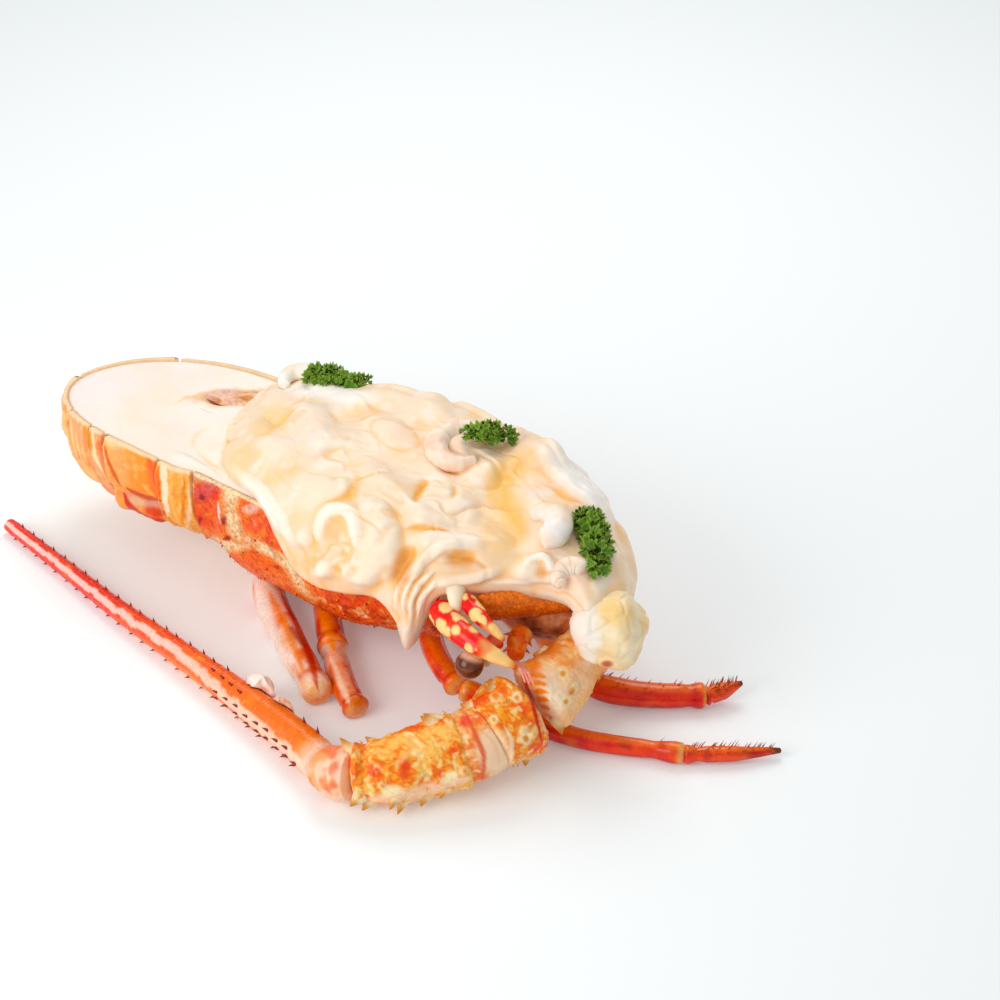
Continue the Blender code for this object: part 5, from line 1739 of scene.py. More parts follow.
    def build_joint(self, joint: Joint) -> None:
        """One joint: a rod with small pebbles and large ringed warts, yellow-orange worms of colour on cream.

        Args:
            joint: what to build.
        """
        rod = Rod(joint.keys, joint.radii, 110, 130, ends=(0.34, 0.34))
        grid = rod.grid()
        warp = grid + 1.2 * Noise(joint.seed).value(grid, 5)[..., None]
        fine, _, _ = Noise(joint.seed + 1).cells(warp, 2.3)
        large, _, pick = Noise(joint.seed + 2).cells(warp, 8.5)
        is_wart = pick > 0.6
        wart = smooth(0.26, 0.1, large) * is_wart
        ring = bump(large, 0.22, 0.07) * is_wart
        wide = 1.4 * Noise(joint.seed + 3).layered(grid, 9, 3)
        flare = 0.7 * bump(rod.share, 0.95, 0.03)[:, None] + 0.6 * bump(rod.share, 0.05, 0.03)[:, None]
        bare = smooth(1.3, 0.8, Mound((494, 752), (17, 24), -14, 0).share(self.lens.picture(grid)))
        swell = 0.3 * smooth(0.6, 0.1, fine) + 0.8 * wart - 0.3 * bump(large, 0.33, 0.05) * is_wart
        swell = swell * (1 - bare) + 1.1 * wide + flare
        swell = swell - joint.waist * bump(rod.share, 0.86, 0.035)[:, None]
        smooth_end = smooth(1, 0.94, rod.share)[:, None] * smooth(0, 0.05, rod.share)[:, None]
        grid = rod.grid(swell * smooth_end)
        colour = tint(self.worms(grid, warp, joint.seed), (255, 214, 166), joint.cream)
        colour = tint(colour, (254, 226, 176), 0.85 * ring)
        colour = tint(colour, (234, 132, 36), 0.85 * wart)
        under = smooth(-0.35, -0.85, np.sin(rod.angle))[None, :]
        colour = tint(colour, (250, 212, 176), 0.6 * under)
        spots = self.lens.picture(grid) + 0.9 * Noise(joint.seed + 7).layered(grid, 3, 2)[..., None]
        face = smooth(-0.1, 0.25, self.lens.facing(grid, grid_normals(grid, True)))
        colour = self.marked(colour, spots, face)
        spot, out, ahead = rod.spots(np.array(joint.spines))
        count = len(spot)
        rng = np.random.default_rng(joint.seed)
        way = out + 0.9 * ahead + rng.normal(0, 0.16, (count, 3))
        length = joint.spine_length * rng.uniform(0.72, 1.08, count)
        thorns = spikes(
            spot - 1.8 * out, way, length, 2.9 + 0.6 * rng.random(count), (254, 230, 188), (206, 130, 20), 14
        )
        count = self.small_spines
        small = np.column_stack([rng.uniform(0.1, 0.9, count), rng.uniform(-60, 240, count)])
        spot, out, ahead = rod.spots(small)
        length = rng.uniform(1, 1.8, count)
        bits = spikes(spot, out + 0.8 * ahead, length, length * 0.42, (250, 196, 120), (226, 120, 24))
        part = Part.joined([ring_body(grid, colour), thorns, bits])
        self.kitchen.piece(joint.name, part, COVER.knob, "antenna_shell", joint.node)

    def build_skin(self) -> None:
        """The soft skin: a grooved spool between the joints, and the knuckle before the whip."""
        spool = Rod(
            ((91.2, -54.6, 20.8), (88.5, -60.8, 18.75), (84.9, -65.8, 16.9)),
            (13.9, 14.1, 13.7), 40, 90, ends=(0.12, 0.12),
        )
        grid = spool.grid(0.35 * Noise(109).layered(spool.grid(), 7, 3))
        colour = self.worms(grid, grid + 1.2 * Noise(108).value(grid, 5)[..., None], 102)
        spots = self.lens.picture(grid) + 0.9 * Noise(110).layered(grid, 3, 2)[..., None]
        colour = self.marked(colour, spots)
        self.kitchen.piece("joint_membrane", ring_body(grid, colour), COVER.skin, "joint_skin", "joint_skin")
        knuckle = Rod(
            ((59.9, -96.8, 12.4), (51.5, -98.8, 11), (45.6, -97.8, 9.7)), (10.4, 10, 8.8), 60, 70, ends=(0.2, 0.25)
        )
        grid = knuckle.grid()
        crease = 0.35 * np.cos(knuckle.share * 20 + 2 * Noise(114).value(grid, 8).mean(axis=1))[:, None]
        grid = knuckle.grid(crease + 0.5 * Noise(111).layered(grid, 5, 4))
        colour = tint((252, 204, 172), (247, 162, 96), smooth(-0.2, 0.3, Noise(112).layered(grid, 6, 3)))
        colour = tint(colour, (238, 104, 34), 0.8 * smooth(0, 0.35, Noise(113).layered(grid, 7, 3)))
        self.kitchen.piece("whip_joint_skin", ring_body(grid, colour), COVER.skin, "joint_skin", "whip_knuckle")

    def build_whip(self) -> None:
        """The whip: rings every 1.3 mm above, a smooth stripe below them painted as a pale highlight, and rows of
        near-black spines.
        """
        rod = self.whip
        along = rod.share * rod.length
        rings = np.cos(2 * math.pi * along / 1.5)[:, None]
        coarse = smooth(0.4, 1, np.cos(2 * math.pi * along / 8.4))[:, None]
        degrees = np.degrees(rod.angle)[None, :]
        flat = rod.grid()
        # The stripe is a painted highlight: jagged, with the rings smoothed away under it.
        ragged = 14 * Noise(121).layered(along[:, None, None] + flat * 0.25, 5, 3)
        middle = 176 - 44 * smooth(0.16, 0.42, rod.share)[:, None]
        wide = 27 - 7 * smooth(0.12, 0.4, rod.share)[:, None]
        stripe = smooth(wide + 4, wide - 4, np.abs(degrees - middle + ragged))
        grid = rod.grid((0.08 * rings + 0.16 * coarse) * (1 - 0.8 * stripe))
        red = smooth(0.12, 0.75, rod.share)[:, None]
        colour = tint((250, 132, 48), (236, 84, 22), red)
        colour = tint(colour, (253, 168, 96), 0.5 * smooth(0, 0.6, Noise(120).layered(grid, 9, 3)))
        colour = tint(colour, (214, 58, 14), (0.25 + 0.25 * red) * smooth(0.2, 0.9, -rings))
        colour = tint(colour, (206, 40, 10), 0.7 * red * (bump(degrees, 62, 26) + bump(degrees, 205, 26)))
        # Painted pale-pink highlight along the stripe.
        pink = tint((253, 212, 190), (252, 216, 208), red)
        colour = tint(colour, pink, 0.92 * stripe * (1 - 0.25 * smooth(0.5, 1, -rings)))
        low = smooth(middle + wide + 14, middle + wide + 30, degrees) + smooth(-20, -60, degrees)
        colour = tint(colour, (251, 166, 92), np.clip(0.8 * low * (1 - red), 0, 1))
        colour = tint(colour, (252, 214, 192), 0.9 * smooth(0.06, 0, rod.share)[:, None])
        near = [
            (0.045 + 0.031 * i, angle + 4 * (i % 3)) for angle, shift in ((188, 0), (158, 1)) for i in range(shift, 9)
        ]
        near += [(0.24 + 0.028 * i, 112 - 3 * i) for i in range(4)]
        far = [(0.06 + 0.036 * i, angle + 7 * (i % 3)) for angle in (46, 214, -20) for i in range(26)]
        rows = np.array(near + [row for row in far if not (0.12 < row[0] < 0.28 and abs(row[1]) < 70)])
        spot, out, ahead = rod.spots(rows)
        size = np.interp(rows[:, 0], (0, 0.3, 1), (2.9, 2.2, 1.7))
        rise = np.where(np.arange(len(rows)) < len(near), 0.35, 0.9)[:, None]
        thorns = spikes(spot, rise * out + ahead, size, size * 0.27, (140, 34, 26), (56, 10, 18))
        part = Part.joined([ring_body(grid, colour), thorns])
        self.kitchen.piece("ringed_whip", part, COVER.leg, "whip_shell", "whip")

    def build_scraps(self) -> None:
        """The two scraps of pale skin against the whip: flattened eggs crumpled by creased noise, clear of the whip."""
        for number, (middle, radii, turn) in enumerate(self.scraps, 1):
            grid = turned(ball_grid(middle, radii, 44, 64), middle, turn)
            bent = grid + 2 * Noise(125 + number).value(grid, 6)[..., None]
            crease = 1 - 2.6 * np.abs(Noise(127 + number).layered(bent, 6, 2, 0.35))
            grid = grid + grid_normals(grid, True) * (1.9 * crease - 1.1)[..., None]
            grid = self.clear(grid)
            colour = tint((254, 232, 220), (246, 176, 140), smooth(0.4, -0.3, crease))
            colour = tint(colour, (238, 140, 90), 0.6 * smooth(0.2, 0.6, Noise(129).layered(grid, 4, 3)))
            node = f"skin_scrap_{number}"
            self.kitchen.piece(f"{node}_crumpled", ring_body(grid, colour), COVER.skin, "joint_skin", node)

    def clear(self, grid: Array) -> Array:
        """The points moved straight away from the whip's line where they come nearer than its radius and a gap.

        Args:
            grid: the points of a scrap.

        Returns:
            The moved points.
        """
        path = self.whip.path[::6]
        radius = self.whip.radius()[::6] + 0.7
        rel = grid[..., None, :] - path
        gap = np.linalg.norm(rel, axis=-1)
        best = np.argmin(gap - radius, axis=-1)
        away = np.take_along_axis(rel, best[..., None, None], axis=-2)[..., 0, :]
        lack = np.maximum(radius[best] - np.linalg.norm(away, axis=-1), 0)
        return grid + unit(away) * lack[..., None]


# The legs


@dataclass(frozen=True)
class Limb:
    """One section of a leg: its line and radii, and how pale, red or bristly it is."""

    node: str
    keys: tuple[Point, ...]
    radii: tuple[float, ...]
    pale: float
    bristles: int = 0


@dataclass
class Legs(Maker):
    """The four bent legs under the body."""

    limbs: tuple[Limb, ...] = (
        Limb("leg_rear_1", ((-47, 54, 37), (-58, 50, 17), (-66, 28, 7.6), (-68, 1, 7)), (5.6, 6.2, 6.4, 6.2), 0.7),
        Limb("leg_rear_2", ((-68, -1, 7), (-50, -26, 6.9), (-23, -44.5, 6.7), (14, -65, 6.2)), (6, 6.8, 6.6, 5.8), 0.9),
        Limb("leg_third_1", ((-23, 56, 36), (-33, 50, 14), (-41, 26, 6.6), (-40, 1, 6)), (5.2, 5.6, 5.6, 5.4), 0.6),
        Limb("leg_third_2", ((-39, 0, 6), (-21, -21.5, 6), (-1.5, -40, 5.8)), (5.4, 5.7, 5.8), 0.15),
        Limb("leg_third_3", ((-3, -38.6, 5.8), (17, -54.5, 5.6), (30.5, -62, 5.2)), (5.2, 5.4, 4.9), 0.45),
        Limb("leg_second_1", ((1, 57, 36), (8, 50, 13), (16, 24, 6.4), (20, -4, 8)), (4.6, 4.8, 4.6, 4.6), 0.2),
        Limb(
            "leg_second_2",
            ((20, -3, 8), (31.7, -17.3, 12.5), (43, -26, 13.5), (58.5, -33, 12)), (4.4, 4.9, 4.8, 4.6), 0.1,
        ),
        Limb(
            "leg_second_3",
            ((57.5, -31.5, 10.8), (72, -26.5, 7.2), (100.7, -22.5, 4.4), (146, -2.6, 4.2)), (4.4, 4.2, 3.8, 3.7), 0, 4,
        ),
        Limb("leg_second_4", ((144.5, -3.5, 4), (160, 9, 4), (173, 22.5, 3.4)), (3.3, 3.2, 1), 0, 60),
        Limb("leg_front_1", ((25, 57, 36), (34, 50, 13), (52, 28, 6.6), (86, 5.5, 6.6)), (4.6, 4.8, 5, 5), 0.2),
        Limb(
            "leg_front_2",
            ((84.5, 5.8, 6.6), (97, 7.5, 6.2), (112.2, 14.1, 5.8), (133.5, 30.5, 5.4)), (5, 5.5, 5, 4.6), 0, 40,
        ),
        Limb("leg_front_3", ((132.5, 29, 5.4), (137.5, 36.5, 6.2), (141.5, 43, 8)), (4, 3.6, 1), 0, 60),
    )
    # Red shadows, pale sides and knobs of the two rear legs.
    marks: tuple[Patch, ...] = (
        streak(((256, 582), (266, 618), (280, 660), (300, 692)), 8, (254, 232, 220), 0.9, 0.6),
        streak(((268, 590), (284, 622), (296, 652), (304, 672)), 4, (246, 130, 34), 0.8, 0.7),
        streak(((282, 594), (296, 622), (308, 650), (318, 690)), 4, (196, 52, 20), 0.85),
        streak(((296, 700), (308, 698), (318, 692)), 4, (250, 180, 130), 0.8, 0.6),
        streak(((322, 606), (328, 632), (334, 650)), 5, (250, 142, 30), 0.85, 0.6),
        streak(((338, 606), (344, 626), (350, 640)), 3.6, (186, 36, 8), 0.85),
        blot((346, 650), (6, 4.5), 0, (252, 224, 176), 0.9, 0.4),
        streak(((330, 656), (338, 678), (350, 704)), 3.6, (254, 216, 184), 0.85, 0.6),
        streak(((350, 660), (358, 684), (362, 700)), 4.5, (214, 72, 22), 0.9, 0.6),
        streak(((330, 662), (334, 684), (342, 706)), 3, (206, 84, 34), 0.7, 0.7),
        blot((360, 703), (8, 6), 0, (216, 112, 50), 0.8, 0.6),
        streak(((290, 626), (300, 640), (306, 648)), 3.2, (168, 58, 24), 0.8, 0.6),
        streak(((284, 664), (292, 684), (300, 696)), 5, (252, 206, 186), 0.7, 0.7),
    )

    def build(self) -> None:
        """Makes each section of each leg."""
        for number, limb in enumerate(self.limbs):
            self.build_limb(limb, 130 + 5 * number)

    def build_limb(self, limb: Limb, seed: int) -> None:
        """One section: a glossy rod that swells at its ends, pale to red, darker underneath as painted shade and
        lighter orange along its top.

        Args:
            limb: what to build.
            seed: the first of its noises.
        """
        rod = Rod(limb.keys, limb.radii, 92, 42, ends=(0.5, 0.6))
        is_claw = limb.radii[-1] < 2
        flare = 0.5 * bump(rod.share, 0.05, 0.05) + (0 if is_claw else 0.7) * bump(rod.share, 0.95, 0.045)
        neck = -0.5 * bump(rod.share, 0.16, 0.05) - (0 if is_claw else 0.35) * bump(rod.share, 0.86, 0.03)
        grid = rod.grid()
        wide = Noise(seed).layered(grid, 12, 3)
        pits, _, _ = Noise(seed + 1).cells(grid, 1.8)
        grid = rod.grid((flare + neck)[:, None] + 0.35 * wide - 0.06 * smooth(0.3, 0.1, pits))
        height = np.sin(rod.angle)[None, :]
        red = tint((238, 94, 24), (214, 54, 10), smooth(-0.3, 0.5, wide))
        # Painted shade: darker red underneath.
        red = tint(red, (170, 32, 8), 0.6 * smooth(0, -0.6, height))
        red = tint(red, (250, 150, 90), 0.6 * smooth(0.1, 0.5, Noise(seed + 2).layered(grid, 14, 4)))
        red = tint(red, (160, 30, 8), 0.6 * smooth(0, 0.4, -Noise(seed + 2).layered(grid, 9, 3)))
        red = tint(red, (250, 138, 50), 0.6 * smooth(0.7, 0.95, height))
        pale = tint((254, 234, 218), (250, 184, 138), smooth(-0.1, 0.4, Noise(seed + 2).layered(grid, 8, 4)))
        pale = tint(pale, (228, 92, 28), 0.9 * smooth(-0.06, 0.26, Noise(seed + 3).layered(grid, 13, 4)))
        colour = tint(red, pale, limb.pale)
        collar = (bump(rod.share, 0.985, 0.02) + bump(rod.share, 0.02, 0.02))[:, None]
        colour = tint(colour, (250, 200, 140), 0 if is_claw else 0.6 * collar)
        colour = tint(colour, (190, 50, 14), (0 if is_claw else 0.6) * bump(rod.share, 0.9, 0.02)[:, None])
        if is_claw:
            colour = tint(colour, (110, 50, 24), smooth(0.8, 0.97, rod.share)[:, None])
        is_rear = "rear" in limb.node or "third" in limb.node
        if is_rear:
            spots = self.lens.picture(grid) + 1.6 * Noise(seed + 4).layered(grid, 6, 3)[..., None]
            face = smooth(-0.1, 0.2, self.lens.facing(grid, grid_normals(grid, True)))
            colour = self.marked(colour, spots, face)
        parts = [ring_body(grid, colour)]
        if limb.bristles:
            rng = np.random.default_rng(seed)
            places = np.column_stack([rng.uniform(0.08, 0.93, limb.bristles), rng.uniform(20, 165, limb.bristles)])
            spot, out, ahead = rod.spots(places)
            length = rng.uniform(1.4, 3.2, limb.bristles)
            parts.append(
                spikes(spot, out + 0.8 * ahead, length, np.full(limb.bristles, 0.24), (200, 90, 40), (96, 44, 24), 5)
            )
        slot = "leg_pale_shell" if is_rear else "leg_red_shell"
        self.kitchen.piece(f"{limb.node}_shell", Part.joined(parts), COVER.leg, slot, limb.node)


# The sauce and what lies on it


@dataclass
class Sauce(Maker):
    """Thick cream sauce: a dome over the cut face that drips over the back's rim, worked into rolls and folds."""

    columns: int = 460
    rings: int = 172
    edge: tuple[Point, ...] = (
        (-95, 33, 60.9), (-91, 14, 60.9), (-82, -10, 60.9), (-69.5, -26.8, 60.9), (-59, -31.6, 60.9),
        (-49, -33.6, 60.9), (-38.5, -37.6, 59.8), (-27, -42.6, 53), (-13.5, -47.2, 45.5), (-2, -48.6, 44.5),
        (12, -48.4, 47.5), (28, -45.6, 50), (37, -45.5, 43), (42.5, -46.5, 33.5), (47, -41, 47),
        (51, -37.5, 57), (60, -30.5, 60), (76, -18, 60.5), (92, -12, 60), (108, -14, 54),
        (113, -2, 52), (104, 17, 50), (85, 35, 50), (58, 49, 53), (20, 54, 56),
        (-20, 53, 56), (-56, 47, 58), (-84, 41, 60.8),
    )
    ridge: tuple[Spot, ...] = (
        (-95, 65), (-70, 71), (-45, 76), (-10, 79), (40, 80.5), (75, 76), (112, 66),
    )
    lumps: tuple[tuple[float, ...], ...] = (
        (8, -24, 13, 4.5), (-30, -14, 15, 3), (-62, -4, 14, 2), (-10, 36, 14, 3.5),
        (44, 38, 12, 4), (48, -8, 12, -3), (62, 14, 12, 2.5), (-36, 18, 10, -2),
    )
    highest_lift: int = 8
    # The shrimps under the sauce and its rolls, flaps and hollows, in the order in which they are laid; the numbers
    # after each height give the painted shade of its fold, its lift and its painted highlight.
    marks: tuple[Stroke | Mound, ...] = (
        Mound((311, 425), (25, 30), -12, 2.6, 0.3, 0.2, 0.3),
        Mound((376, 440), (47, 31), 8, 2.6, 0.3, 0, 0.1),
        Mound((394, 433), (25, 15), 25, 1.3, 0.5, 2.2, 0.2),
        groove(((304, 399), (284, 410), (266, 428), (262, 436)), 8, 1.6, 0.55, 1),
        groove(((258, 410), (272, 414), (288, 432)), 5, 0.9, 0.5, 1),
        groove(((340, 446), (356, 456), (364, 462)), 5, 0.8, 0.35, 1),
        flap(((300, 448), (290, 438), (272, 433), (246, 438)), 10, 1.2, 0.12, 0.5, 0.25),
        flap(
            ((306, 566), (309, 542), (315, 522), (328, 505), (348, 490), (353, 474), (344, 452)),
            10, 2.2, 0.95, 0.8, 0.15,
        ),
        roll(((220, 459), (240, 476), (258, 494), (276, 518), (290, 540), (302, 572)), 9, 1.3, 0, 0.3, 0.8),
        Mound((398, 484), (30, 19), 10, 1.2, 0.2, 0.4),
        Mound((436, 500), (36, 15), 6, 1.1, 0.25, 0.5),
        roll(((390, 512), (425, 508), (460, 512), (500, 519)), 14, 1.3, 0.2, 0.4, 0.2),
        roll(((330, 504), (364, 508), (380, 532), (373, 562), (348, 576), (314, 579)), 20, 3.8, 0.45, 0.6, 0.15),
        roll(
            ((316, 562), (313, 532), (325, 511), (344, 509), (355, 527), (354, 547), (338, 566)),
            7, 1.7, 0.45, 3.2, 0.8,
        ),
        Mound((334, 533), (8, 13), 0, 0.7, 0.2, 1.2),
        Mound((318, 571), (8, 12), 30, 1.4, 0.4, 2.8, 0.7),
        roll(((398, 543), (430, 537), (465, 541), (503, 552)), 9, 1.4, 0.25, 0.4, 0.3),
        flap(((396, 530), (418, 524), (436, 526), (460, 532)), 5.5, 1.2, 0.9, 0.6),
        groove(((412, 536), (403, 556), (397, 574), (392, 598)), 8, 2.4, 1.05, 1),
        groove(((444, 555), (462, 558), (482, 563)), 9, 1.9, 0.9, 1),
        roll(((486, 556), (462, 545), (440, 547), (424, 558), (411, 574), (398, 600)), 6, 1.9, 0.35, 0.8, 0.4),
        roll(((510, 553), (490, 574), (470, 582), (450, 584), (434, 592), (425, 612)), 7, 1.8, 0.35, 0.4, 0.3),
        roll(((444, 563), (424, 579), (413, 600), (411, 638)), 3.6, 1.4, 0.75, 0.6, 0.5),
        roll(((450, 573), (432, 586), (422, 604), (419, 640)), 4, 1.5, 0.75, 0.6, 0.5),
        roll(((432, 560), (414, 576), (404, 596), (402, 630)), 3.6, 1.3, 0.75, 0.6, 0.5),
        roll(((422, 555), (405, 574), (396, 592), (394, 620)), 3.3, 1.1, 0.7, 0.6, 0.4),
        Mound((409, 634), (11, 10), 0, 1.6, 0.3, 0.3, 0.4),
        groove(((426, 470), (421, 485), (415, 502)), 4.2, 2.1, 1.2, 1.5),
        groove(((453, 478), (455, 488), (453, 498)), 2.6, 1, 0.7, 1.5),
        Mound((470, 448), (36, 21), 30, 2.4, 0.25, 0.4, 0.15),
        groove(((431, 424), (430, 441), (443, 460), (468, 475)), 4.6, 1.8, 1, 1),
        groove(((544, 457), (514, 464), (499, 478), (508, 504), (517, 530), (512, 562)), 17, 2, 0.7, 0.5),
        groove(((502, 458), (500, 474), (507, 494)), 7, 0.9, 0.4, 0.5),
        roll(
            ((512, 426), (544, 447), (556, 465), (579, 482), (597, 498), (609, 516), (615, 553)), 11, 2.2, 0, 0.8, 0.8
        ),
        groove(((542, 478), (569, 492), (592, 504)), 4, 1.1, 0.7, 1.5),
        roll(((532, 427), (552, 437), (564, 456), (576, 475)), 4, 1.3, 0.4, 2.4, 0.1),
        Mound((527, 572), (17, 13), -10, 1.9, 0.35, 0.4, 0.2),
        roll(((517, 578), (530, 560), (545, 558), (552, 570), (548, 589)), 4.6, 1.3, 0.5, 1.9, 0.8),
        roll(((468, 586), (507, 585), (543, 581), (586, 589)), 4.5, 1.1, 0.3, 0.3, 0.4),
        flap(((600, 556), (590, 583), (597, 604)), 7, 0.8, 0.4, 0.5, 0.4),
    )

    def base(self) -> Array:
        """The plain dome: rings that run from the middle to the edge, then under it."""
        keys = np.array(self.edge)
        wrapped = np.vstack([keys[-3:], keys, keys[:4]])
        reach = np.concatenate([[0], np.cumsum(np.linalg.norm(np.diff(wrapped, axis=0), axis=1))])
        dense = through(wrapped, 4000)
        at = np.linspace(0, reach[-1], 4000)
        where = np.linspace(reach[3], reach[3 + len(keys)], self.columns, endpoint=False)
        edge = np.stack([np.interp(where, at, dense[:, i]) for i in range(3)], axis=1)
        hub = np.column_stack([np.clip(edge[:, 0], -62, 84), np.full(len(edge), 4)])
        t = np.linspace(0, 1, self.rings)
        share = 0.012 + 0.988 * (1 - (1 - t) ** 1.25)
        flat = hub[None] + (edge[None, :, :2] - hub[None]) * share[:, None, None]
        crown = self.height(flat[..., 0], flat[..., 1])
        rise = np.sqrt(np.clip(1 - share**7, 0, 1))[:, None]
        top = np.concatenate([flat, (edge[None, :, 2] + (crown - edge[None, :, 2]) * rise)[..., None]], axis=-1)
        rows = [top]
        for share_in, sink in ((0.985, 1.4), (0.965, 1.8), (0.9, 1), (0.8, 0)):
            flat = hub + (edge[:, :2] - hub) * share_in
            floor = np.full(len(edge), self.form.cut_z - 3)
            rows.append(np.column_stack([flat, np.minimum(edge[:, 2] - sink, floor) if sink else floor])[None])
        return np.concatenate(rows)

    def height(self, x: Array, y: Array) -> Array:
        """Height of the top away from its edge: a ridge line along X, with bells of sauce added.

        Args:
            x: places along the body.
            y: places across it.

        Returns:
            Z at each place.
        """
        ridge = np.array(self.ridge)
        height = np.interp(x, ridge[:, 0], ridge[:, 1]) + 0.045 * y
        for middle_x, middle_y, size, lift in self.lumps:
            height = height + lift * np.exp(-((x - middle_x) ** 2 + (y - middle_y) ** 2) / size**2)
        return height + 1.1 * np.sin(0.16 * x + 0.1 * y) * np.sin(0.19 * y - 0.05 * x + 1)

    def relief(self, base: Array, normal: Array) -> tuple[Array, Array, Array]:
        """Heights along the normal, the painted shade that each point gets from a fold, and its painted highlight.

        Each mark is laid where its own top will show in the picture, shaken by noise and of uneven strength. The
        side that looks away has folds of its own: noise stretched and bent by slower noise, creased where it
        crosses zero. Last, the heights are evened out a little.

        Args:
            base: the plain dome's points.
            normal: the directions away from it.

        Returns:
            The height, the painted fold shade and the painted highlight at each point.
        """
        shakes = [3.2 * Noise(200 + i).layered(base, 14, 2) + 1.3 * Noise(204 + i).value(base, 5) for i in range(2)]
        shake = np.stack(shakes, axis=-1)
        pictures = [self.lens.picture(base + normal * lift) + shake for lift in range(self.highest_lift + 1)]
        uneven = 1 + 0.45 * Noise(225).layered(base, 9, 2)
        height = 0.55 * Noise(221).layered(base, 17, 2) + 0.16 * Noise(222).layered(base, 6, 2)
        fold_shade, pale = np.zeros_like(height), np.zeros_like(height)
        for mark in self.marks:
            lift = int(np.clip(round(mark.lift + 0.7 * mark.height), 0, self.highest_lift))
            laid, hollow, white = mark.lay(pictures[lift], height)
            height = height + (laid - height) * uneven
            # Each mark's fold gives painted shade, weaker under its painted highlight.
            fold_shade, pale = np.maximum(fold_shade * (1 - 0.5 * np.clip(white, 0, 1)), hollow), np.maximum(pale, white)
        face = self.lens.facing(base, normal)
        bent = base + 9 * np.stack([Noise(210 + i).value(base, 22) for i in range(3)], axis=-1)
        fold = 1 - 2 * np.abs(Noise(220).layered(bent, 24, 2, 0.3))
        crease = smooth(0.7, 0.98, fold)
        away = 0.5 + 2.2 * (1 - np.clip(fold, 0, 1) ** 2) - 0.8 * crease + 0.7 * Noise(223).layered(bent, 15, 2)
        height = settled(height * face + away * (1 - face), 2)
        flow = Noise(226).layered(bent * np.array((0.35, 1, 1)), 2.4, 2)
        kinked = base + 3.5 * np.stack([Noise(240 + i).value(base, 8) for i in range(3)], axis=-1)
        wrinkle = smooth(0.62, 1, 1 - 2 * np.abs(Noise(243).layered(kinked * np.array((0.6, 1, 1)), 11, 2, 0.4)))
        wrinkle = wrinkle * smooth(-0.35, 0.35, Noise(244).value(base, 19))
        # The fine wrinkles, and the creases on the side that looks away, get painted shade too.
        fold_shade = np.maximum(fold_shade, 0.5 * wrinkle)
        rough = 0.34 * Noise(245).layered(kinked, 6, 3)
        return height + 0.14 * flow + rough - 0.85 * wrinkle, fold_shade * face + 0.6 * crease * (1 - face), pale * face

    def build(self) -> None:
        """Makes the sauce: the dome and its relief, crumbs of meat at the large shrimp, the tongue by the horns."""
        base = self.base()
        away = smooth(0, 14, np.linalg.norm(base - base[:1], axis=-1))[..., None]
        normal = unit(grid_normals(base, True) * away + UP * (1 - away))
        height, fold_shade, pale = self.relief(base, normal)
        spots = self.lens.picture(base + 3 * normal)
        torn = smooth(1.1, 0.5, Mound((343, 566), (27, 15), -12).share(spots)) * self.lens.facing(base, normal)
        crumb = Noise(235).layered(base, 3.6, 3, 0.6)
        height = height + 1.1 * torn * crumb
        # The crumbs by the large shrimp are pale as white meat on top, and their hollows get painted shade.
        pale = np.maximum(pale, 0.7 * torn * smooth(-0.1, 0.4, crumb))
        fold_shade = np.maximum(fold_shade, 0.7 * torn * smooth(0.05, 0.5, -crumb))
        keep = np.ones(len(base))
        keep[self.rings :] = 0
        keep[self.rings - 4 : self.rings] = (0.85, 0.65, 0.45, 0.25)
        height = height * keep[:, None]
        grid = base + normal * height[..., None]
        dome = tubes(grid[None], self.paint(grid, height, fold_shade, pale))
        ring, place = dome.ends.pop(0)[::-1], grid[0, :, 0]
        ring = np.roll(ring, -int(np.argmin(place)))
        top = int(np.argmax(place[ring]))
        dome.triangles = strip(np.append(ring[top:], ring[0])[::-1], ring[: top + 1], place)
        tongue = Rod(
            ((55, -30, 60), (58.5, -34.5, 59), (60.5, -36.6, 55.5), (61.5, -37.6, 51.5)),
            (4.5, 3.6, 2.6, 1), 60, 40, ends=(0.5, 0.8),
        )
        drop = ring_body(tongue.grid(0.3 * Noise(236).layered(tongue.grid(), 4, 2)), (253, 234, 208))
        self.kitchen.piece("folded_sauce", Part.joined([dome, drop]), COVER.sauce, "sauce", "sauce")

